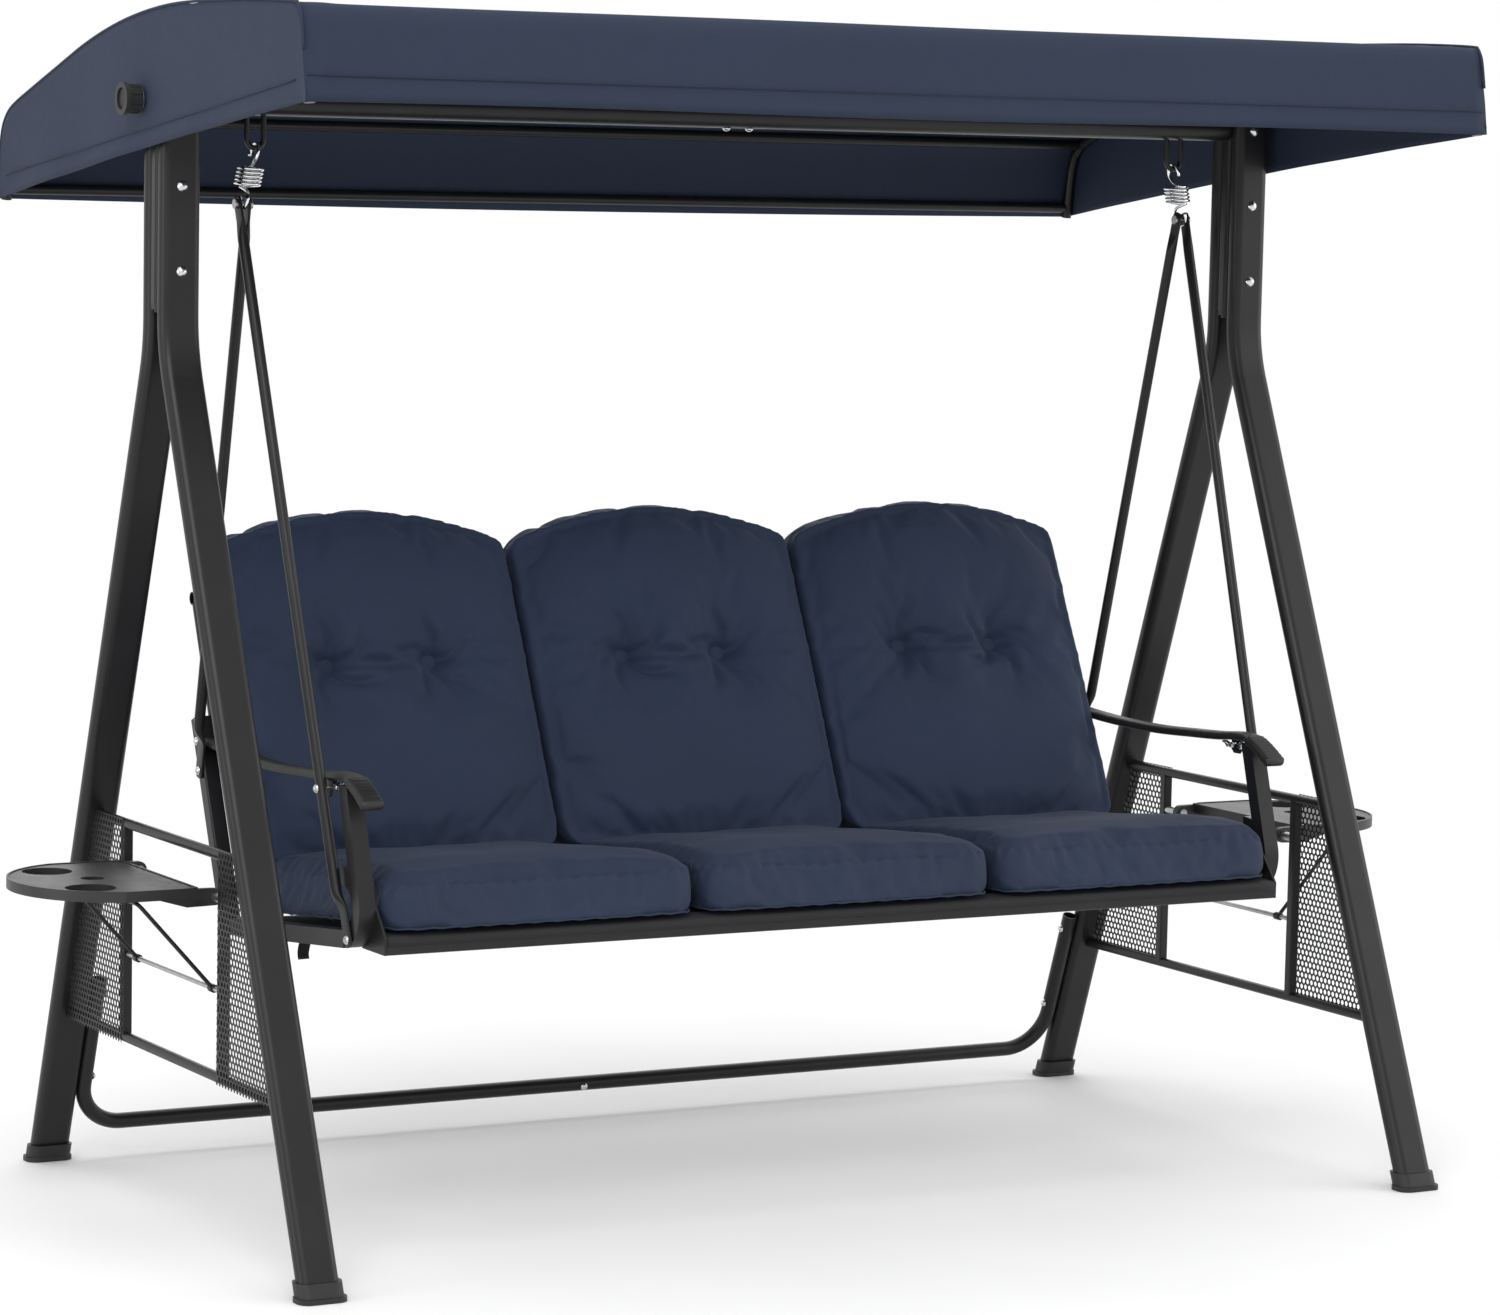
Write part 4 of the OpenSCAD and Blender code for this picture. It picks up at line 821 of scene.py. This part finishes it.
def button(name, r, mat):
    """A cloth-covered button: a low dome with a rolled rim, facing +Z."""
    prof = [(0.0, 0.0052), (0.35, 0.0050), (0.62, 0.0042), (0.82, 0.0028), (0.96, 0.0008), (1.0, -0.0012),
            (0.94, -0.0030), (0.7, -0.0040)]
    k = 28
    verts, faces = [(0, 0, prof[0][1])], []
    for pr, pz in prof[1:]:
        verts += [(r * pr * math.cos(2 * math.pi * j / k), r * pr * math.sin(2 * math.pi * j / k), pz)
                  for j in range(k)]
    for j in range(k):
        faces.append((0, 1 + j, 1 + (j + 1) % k))
    for q in range(len(prof) - 2):
        a, b = 1 + q * k, 1 + (q + 1) * k
        faces += [(a + j, b + j, b + (j + 1) % k, a + (j + 1) % k) for j in range(k)]
    return make(name, verts, faces, mat)


def nearest_height(obj, x, s):
    best, z = 9.0, 0.0
    for v in obj.data.vertices:
        d = (v.co.x - x) ** 2 + (v.co.y - s) ** 2
        if v.co.z > 0.02 and d < best:
            best, z = d, v.co.z
    return z


LEAN = math.radians(22.2)     # of the back, from upright
TILT = math.radians(5.8)      # of the seat, down towards the back
BACK_FOOT = (0.119, 0.4063)   # y and z where the back posts leave the seat's rails
SEAT_PAD_T, BACK_PAD_T = 0.076, 0.098
PAD_GAP = 0.004


def again(name, mesh, seed, mirrored, amount, above):
    """Another cushion from the same cover, lying a little differently."""
    obj = bpy.data.objects.new(name, mesh.copy())
    scene.collection.objects.link(obj)
    for v in obj.data.vertices:
        if mirrored:
            v.co.x = -v.co.x
        if v.co.z > above:
            v.co.z += amount * noise.noise(Vector((v.co.x * 6, v.co.y * 6, seed)))
    if mirrored:
        obj.data.flip_normals()
    return obj


def build_seat_cushions():
    lo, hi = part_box("seat_cushions")
    width = (hi[0] - lo[0] - 2 * PAD_GAP) / 3
    depth_y = hi[1] - lo[1]
    # the seat's surface, on which the cushions lie
    front_z, front_y = lo[2] + depth_y * math.tan(TILT) + 0.002, lo[1]
    cover = None
    for i in range(3):
        name = f"seat_pad_{i + 1}"
        if cover is None:
            obj, line, inset = cushion_shape(name, width, depth_y, SEAT_PAD_T, 0, MATS["seat_cloth"], [],
                                             0.0065, 2.0, False)
            cover = obj.data.copy()
        else:
            obj = again(name, cover, i * 5.3, i == 2, 0.0034, 0.03)
        cx = lo[0] + width / 2 + i * (width + PAD_GAP)

        def world(c):
            s, t = c[1] + 0.002, c[2] + inset + 0.001
            # the front edge droops over the front tube
            t -= 0.009 * (1 - smooth_step(0.0, 0.11, s))
            return Vector((c[0] + cx, front_y + s * math.cos(TILT) + t * math.sin(TILT),
                           front_z - s * math.sin(TILT) + t * math.cos(TILT)))

        place(obj, world)
        seam = [world((p.x, p.y, 0.0012 + 0.0008 * math.sin(k * 2.1))) for k, p in enumerate(line)]
        seam = tube(f"seat_seam_{i + 1}", seam, 0.0014, MATS["seat_cloth"], 8, closed=True)
        finish_piece(obj, "seat", "seat_cloth", *(["seat_cushions"] if i == 0 else []))
        finish_piece(seam, "seat", "seat_cloth")


def build_back_cushions():
    cover = None
    for i in range(3):
        lo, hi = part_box(f"back_cushion_{i + 1}")
        width = hi[0] - lo[0]
        height = (hi[2] - lo[2]) / math.cos(LEAN) - 0.010
        tuft_s = height * 0.54
        tufts = [(-0.0845, tuft_s), (0.0845, tuft_s)]
        name = f"back_pad_{i + 1}"
        if cover is None:
            obj, _, inset = cushion_shape(name, width, height, BACK_PAD_T, 0.047, MATS["back_cloth"], tufts,
                                          0.007, 4.0, True)
            cover = obj.data.copy()
        else:
            obj = again(name, cover, i * 7.7, i == 2, 0.0035, 0.04)
        cx = (lo[0] + hi[0]) / 2
        # the back face lies on the sling; its lower edge stands on the seat cushion
        base_z = lo[2] + 0.003
        base_y = BACK_FOOT[0] + (base_z - BACK_FOOT[1]) * math.tan(LEAN) - 0.0165

        def world(c):
            u = max(0.0, min(1.0, c[1] / height))
            # thinner towards the top corners, and cut at the foot to sit on the seat
            t = (c[2] + inset) * lerp(1.0, 0.60 + 0.20 * (1 - (2 * c[0] / width) ** 2), u)
            s = c[1] - 0.306 * t * (1 - smooth_step(0.0, 0.45, u))
            return Vector((cx + c[0], base_y + s * math.sin(LEAN) - t * math.cos(LEAN),
                           base_z + s * math.cos(LEAN) + t * math.sin(LEAN)))

        buttons = []
        for x, s in tufts:
            z = nearest_height(obj, x, s)
            b = button("button", 0.0165, MATS["back_cloth"])
            for v in b.data.vertices:
                v.co = Vector((v.co.x + x, v.co.y + s, v.co.z + z + 0.006))
            place(b, world)
            b.data.flip_normals()
            buttons.append(b)
        place(obj, world)
        obj.data.flip_normals()
        trim = joined(f"back_buttons_{i + 1}", buttons)
        finish_piece(obj, "seat", "back_cloth", f"back_cushion_{i + 1}")
        finish_piece(trim, "seat", "back_cloth")


# ---------- slings ----------

SLING_COLUMNS = 60


def grid_faces(rows, columns):
    """Quads over a grid of points that run row by row."""
    faces = []
    for i in range(rows):
        for j in range(columns):
            a = i * (columns + 1) + j
            faces.append((a, a + 1, a + columns + 2, a + columns + 1))
    return faces


def build_seat_sling(half, rear_y):
    # over the front tube first, then back along the seat
    line = [(-0.3990, 0.4500), (-0.3990, 0.4590), (-0.3975, 0.4622), (-0.3935, 0.4635), (-0.3780, 0.4642),
            (-0.3600, 0.4656)]
    for i in range(1, 25):
        y = lerp(-0.3600, rear_y, i / 24)
        line.append((y, 0.4683 - (y + 0.385) * math.tan(TILT) - 0.004 * math.sin(math.pi * i / 24)))
    verts = []
    for y, z in line:
        depth = 0.004 * smooth_step(-0.36, -0.25, y) * (1 - smooth_step(0.0, rear_y, y))
        for j in range(SLING_COLUMNS + 1):
            sag = depth * math.sin(math.pi * j / SLING_COLUMNS)
            verts.append((lerp(-half, half, j / SLING_COLUMNS), y, z - sag))
    seat = make("seat_web", verts, grid_faces(len(line) - 1, SLING_COLUMNS), MATS["sling_cloth"])
    modify(seat, "SOLIDIFY", thickness=CLOTH_T, offset=-1.0)
    bake(seat)
    finish_piece(seat, "seat", "sling_cloth", "seat_sling")


def sling_sleeve(half):
    """The back sling's sleeve, sewn round the top tube."""
    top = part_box("seat_cross_tubes")[1]
    tube_r, sides = 0.010, 24
    cy, cz = top[1] - tube_r, top[2] - tube_r
    verts, faces = [], []
    for j in range(SLING_COLUMNS + 1):
        x = lerp(-half, half, j / SLING_COLUMNS)
        r = tube_r + 0.0015 + 0.0006 * noise.noise(Vector((x * 25, 0, 4)))
        verts += [(x, cy + y, cz + z) for y, z in circle_ring(r, sides)]
    for j in range(SLING_COLUMNS):
        a, b = j * sides, (j + 1) * sides
        faces += [(a + q, b + q, b + (q + 1) % sides, a + (q + 1) % sides) for q in range(sides)]
    sleeve = make("back_sleeve", verts, faces, MATS["sling_cloth"])
    modify(sleeve, "SOLIDIFY", thickness=0.0012, offset=-1.0)
    return bake(sleeve)


def build_back_sling(half):
    lo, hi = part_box("back_sling")
    rise = hi[2] - lo[2]
    rows = 30
    verts = []
    for i in range(rows + 1):
        u = i / rows
        for j in range(SLING_COLUMNS + 1):
            across = j / SLING_COLUMNS
            bow = 0.010 * math.sin(math.pi * u) * math.sin(math.pi * across) ** 0.6
            y = lo[1] + 0.0015 + u * rise * math.tan(LEAN) + bow
            verts.append((lerp(-half, half, across), y, lo[2] + u * rise))
    back = make("back_web", verts, grid_faces(rows, SLING_COLUMNS), MATS["sling_cloth"])
    modify(back, "SOLIDIFY", thickness=CLOTH_T, offset=0.0)
    bake(back)
    sleeve = sling_sleeve(half)
    finish_piece(back, "seat", "sling_cloth", "back_sling")
    finish_piece(sleeve, "seat", "sling_cloth")


def build_strap():
    """A loose end of the sling's lacing strap, under the left of the seat."""
    strap = []
    for q in range(14):
        u = q / 13
        strap.append((-0.700 + 0.004 * math.sin(5 * u), 0.0 - 0.012 * u * u, 0.424 - 0.052 * u))
    verts, faces = rings_tube(strap, lambda i: round_rect_ring(0.018, CLOTH_T, 0.0006, 2))
    finish_piece(make("sling_strap", verts, faces, MATS["sling_cloth"]), "seat", "sling_cloth")


def build_slings():
    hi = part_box("seat_sling")[1]
    build_seat_sling(hi[0], hi[1])
    build_back_sling(hi[0])
    build_strap()


# ---------- frame details ----------

# the armrest's upper line from back to front, as y and z
ARM_LINE = [
    (0.2467, 0.682), (0.1867, 0.675), (0.0767, 0.669), (-0.0433, 0.668), (-0.1533, 0.673),
    (-0.2239, 0.677), (-0.2639, 0.681), (-0.2939, 0.682), (-0.3159, 0.678), (-0.3379, 0.669),
    (-0.3599, 0.657), (-0.3719, 0.650)]


def arm_lug(s, y):
    """The lug under an armrest at y, with its wing nut."""
    x = s * 0.774
    thick, long = (0.004, 0.006, 0.006, 0.006), (0.016, 0.026, 0.026, 0.022)
    verts, faces = rings_tube([(x, y, z) for z in (0.644, 0.650, 0.664, 0.668)],
                              lambda i: round_rect_ring(thick[i], long[i], 0.0018, 3))
    parts = [make("lug", verts, faces, MATS["black_plastic"])]
    for wing in (-1, 1):
        line = [(s * 0.7605, y + wing * 0.003, 0.657), (s * 0.759, y + wing * 0.010, 0.662),
                (s * 0.758, y + wing * 0.016, 0.662)]
        wide, flat = (0.008, 0.007, 0.005), (0.007, 0.004, 0.003)
        verts, faces = rings_tube(line, lambda i: round_rect_ring(wide[i], flat[i], 0.0012, 2))
        parts.append(make("wing", verts, faces, MATS["bright_steel"]))
    return parts


def build_armrests():
    pts = smooth_curve(ARM_LINE, 8)
    for side, s in (("left", -1), ("right", 1)):
        lo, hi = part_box(f"armrest_{side}")
        cx = (lo[0] + hi[0]) / 2 + s * 0.001
        line = [(cx, y, z - 0.007) for y, z in pts]
        count = len(line)

        def ring(i):
            y = line[i][1]
            pad = smooth_step(-0.300, -0.318, y) if y < -0.300 else 0.0
            w = lerp(0.026, 0.034, pad)
            if i < 8:
                w *= lerp(0.55, 1.0, math.sin(math.pi / 2 * (i + 0.6) / 8.6))
            h = lerp(0.0130, 0.0160, pad)
            if pad > 0.5:
                h -= 0.0016 * (0.5 + 0.5 * math.cos(2 * math.pi * (y + 0.372) / 0.0075))
            if i >= count - 2:
                w, h = w * 0.93, h * 0.8
            return round_rect_ring(w, h, min(0.0052, h * 0.42), 4)

        verts, faces = rings_tube(line, ring)
        arm = make(f"arm_{side}", verts, faces, MATS["black_plastic"])
        both = joined(f"armrest_{side}_shape", [arm] + arm_lug(s, -0.249))
        finish_piece(both, "seat", "black_plastic", f"armrest_{side}")


LOOP_Z, PIN_Z = 1.549, 1.469  # axes of the hanging loop and of the hanger pin
ROD_R = 0.004                 # radius of both
WIRE_R, COIL_R = 0.0024, 0.0176
HOOK_R, HOOK_PLAY = 0.0140, 0.0014


def spring_line(s):
    """The wire's middle line, as if the spring hung straight down from the loop."""
    face = math.radians(90 * s)
    out = Vector((math.cos(face), math.sin(face), 0))
    across = Vector((-math.sin(face), math.cos(face), 0))
    up = Vector((0, 0, 1))
    top_c = LOOP_Z + ROD_R + WIRE_R + HOOK_PLAY - HOOK_R
    low_c = PIN_Z - ROD_R - WIRE_R - HOOK_PLAY + HOOK_R
    coil_top, coil_low = top_c - HOOK_R - 0.0068, low_c + HOOK_R + 0.0058
    diagonal = math.sqrt(0.5)

    def hook(centre_z, first, last):
        angles = [math.radians(lerp(first, last, k / 24)) for k in range(25)]
        return [up * centre_z + HOOK_R * (math.cos(a) * out + math.sin(a) * up) for a in angles]

    upper, lower = hook(top_c, 200, -45), hook(low_c, 45, -200)
    turns, per = 5, 40
    coil = []
    for k in range(turns * per + 1):
        a = 2 * math.pi * k / per
        coil.append(COIL_R * (-math.cos(a) * out - math.sin(a) * across)
                    + up * lerp(coil_top, coil_low, k / (turns * per)))
    start, end = coil[0], coil[-1]
    leave = -diagonal * (up + out)
    enter = diagonal * (up - out)
    return (upper + bezier(upper[-1], upper[-1] + 0.009 * leave, start + 0.010 * across, start, 8) + coil
            + bezier(end, end - 0.010 * across, lower[0] + 0.009 * enter, lower[0], 8) + lower)


def build_springs():
    lean = 18 / 80  # the pin sits 18 mm further out than the loop, 80 mm below it
    for side, s in (("left", -1), ("right", 1)):
        line = [(s * (0.788 + lean * (LOOP_Z - p.z)) + p.x, p.y, p.z) for p in spring_line(s)]
        obj = tube(f"coil_{side}", line, WIRE_R, MATS["spring_chrome"], 14)
        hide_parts(f"spring_{side}")
        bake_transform(obj)


# along a hanger from its end, in mm: distance, share of the sideways shift, and flatness
UPPER_END = [
    (-11.5, 0, 0.35), (-10.6, 0, 0.6), (-8, 0, 0.85), (-4, 0, 1), (0, 0, 1), (22, 0, 1), (27, 0, 0.92),
    (33, 0, 0.7), (40, 0, 0.4), (47, 0, 0.14), (54, 0, 0)]
LOWER_END = [
    (74, 1, 0), (66, 1, 0.14), (60, 0.8, 0.4), (54, 0.45, 0.72), (48, 0.15, 0.93), (42, 0, 1), (0, 0, 1),
    (-4, 0, 1), (-7.5, 0, 0.85), (-10, 0, 0.6), (-11, 0, 0.35)]
PIN_X, HANGER_D, FLAT_T = 0.806, 0.016, 0.0038


def build_hangers():
    """Rods squashed flat at both ends, lofted from round to flat."""
    low = {"front": (0.7785, -0.334, 0.4524), "rear": (0.7785, 0.2091, 0.627)}
    for side, s in (("left", -1), ("right", 1)):
        for which in ("front", "rear"):
            node = f"hanger_{which}_{side}"
            tab = PIN_X + (0.0074 if which == "front" else -0.0074)
            lx, ly, lz = low[which]
            a = Vector((s * tab, 0, PIN_Z))
            b = Vector((s * (lx + 0.0003), ly, lz))
            v = b - a
            length = v.length
            pts, forms = [], []
            shift = Vector((s * 0.0067, 0, 0))
            for d, _, flat in UPPER_END:
                pts.append(a + v * (d / 1000 / length))
                forms.append(flat if d > -4 or flat == 1 else (flat, "end"))
            for k in range(1, 12):
                pts.append((a + v * (0.054 / length)).lerp(b - v * (0.074 / length) + shift, k / 12))
                forms.append(0)
            for d, off, flat in LOWER_END:
                pts.append(b - v * (d / 1000 / length) + shift * off)
                forms.append(flat if d > -4 or flat == 1 else (flat, "end"))

            def ring(i):
                f = forms[i]
                if isinstance(f, tuple):
                    return round_rect_ring(FLAT_T, max(0.023 * f[0], 0.005), 0.0012, 4)
                w, t = lerp(HANGER_D, 0.0225, f), lerp(HANGER_D, FLAT_T, f)
                return round_rect_ring(t, w, min(w, t) * lerp(0.499, 0.45, f), 4)

            verts, faces = rings_tube(pts, ring)
            obj = make(f"{node}_rod", verts, faces, MATS["frame_paint"])
            finish_piece(obj, "seat", "frame_paint", node)


HOLE_PITCH, HOLE_R = 0.0105, 0.0041
BEND_Z, BEND_Y, LEG_HALF = 1.264, 0.0265, 0.014
FOOT_Y = {"front": -0.558, "rear": 0.475}
BAR_Y = {"front": -0.210, "rear": 0.151}  # inner edges of the two plates


def leg_edge(which, z):
    """The y of a leg's inner edge at height z."""
    sign = -1 if which == "front" else 1
    slope = (FOOT_Y[which] - sign * BEND_Y) / BEND_Z
    half = LEG_HALF / math.cos(math.atan(abs(slope)))
    return sign * BEND_Y + (BEND_Z - z) * slope - sign * half


def build_mesh_plates():
    """Perforated side plates: staggered round holes, cut to the plate's outline."""
    pitch, r = HOLE_PITCH, HOLE_R
    for side, s in (("left", -1), ("right", 1)):
        node = f"panel_plates_{side}"
        lo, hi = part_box(node)
        x_in = min(abs(lo[0]), abs(hi[0]))
        z0, z1 = lo[2], hi[2]
        shapes = [[(BAR_Y[which], z0), (BAR_Y[which], z1),
                   (leg_edge(which, z1), z1), (leg_edge(which, z0), z0)] for which in ("front", "rear")]
        made = []
        for shape in shapes:
            bm = bmesh.new()
            ys = [p[0] for p in shape]
            row_h = pitch * math.sqrt(3) / 2
            rows = int((z1 - z0) / row_h) + 2
            cols = int((max(ys) - min(ys)) / pitch) + 3
            cell = pitch / math.sqrt(3)
            grid = {}

            def vert(y, z):
                key = (round(y, 6), round(z, 6))
                if key not in grid:
                    grid[key] = bm.verts.new((0, y, z))
                return grid[key]

            for q in range(rows):
                cz = z0 + q * row_h
                for c in range(cols):
                    cy = min(ys) - pitch / 2 + c * pitch + (q % 2) * pitch / 2
                    angles = [k * math.pi / 3 for k in range(6)]
                    hexa = [(cy + cell * math.sin(a), cz + cell * math.cos(a)) for a in angles]
                    outer = []
                    for k in range(6):
                        p, n = hexa[k], hexa[(k + 1) % 6]
                        outer += [p, ((p[0] + n[0]) / 2, (p[1] + n[1]) / 2)]
                    angles = [k * math.pi / 6 for k in range(12)]
                    inner = [(cy + r * math.sin(a), cz + r * math.cos(a)) for a in angles]
                    ov = [vert(*p) for p in outer]
                    iv = [bm.verts.new((0, *p)) for p in inner]
                    for k in range(12):
                        bm.faces.new((ov[k], ov[(k + 1) % 12], iv[(k + 1) % 12], iv[k]))
            centre = Vector((0, sum(ys) / 4, (z0 + z1) / 2))
            for k in range(4):
                a, b = shape[k], shape[(k + 1) % 4]
                d = Vector((0, b[0] - a[0], b[1] - a[1])).normalized()
                nrm = Vector((0, d.z, -d.y))
                if nrm.dot(centre - Vector((0, *a))) > 0:
                    nrm = -nrm
                everything = bm.verts[:] + bm.edges[:] + bm.faces[:]
                bmesh.ops.bisect_plane(bm, geom=everything, plane_co=(0, *a), plane_no=nrm, clear_outer=True)
            mesh = bpy.data.meshes.new("plate")
            bm.to_mesh(mesh)
            bm.free()
            obj = bpy.data.objects.new("plate", mesh)
            scene.collection.objects.link(obj)
            for v in mesh.vertices:
                v.co.x = s * (x_in + 0.0006)
            mesh.materials.append(MATS["panel_mesh"])
            modify(obj, "SOLIDIFY", thickness=0.0011, offset=0.0)
            bake(obj)
            made.append(obj)
        plate = joined(f"perforated_{side}", made)
        for p in plate.data.polygons:
            p.use_smooth = False
        finish_piece(plate, "stand", "panel_mesh", node)


build_canopy()
build_seat_cushions()
build_back_cushions()
build_slings()
build_armrests()
build_springs()
build_hangers()
build_mesh_plates()

# edges of the carried-over parts catch the light
for node, obj in nodes.items():
    if not obj.hide_render:
        for p in obj.data.polygons:
            p.use_smooth = True
        obj.data.set_sharp_from_angle(angle=math.radians(32))
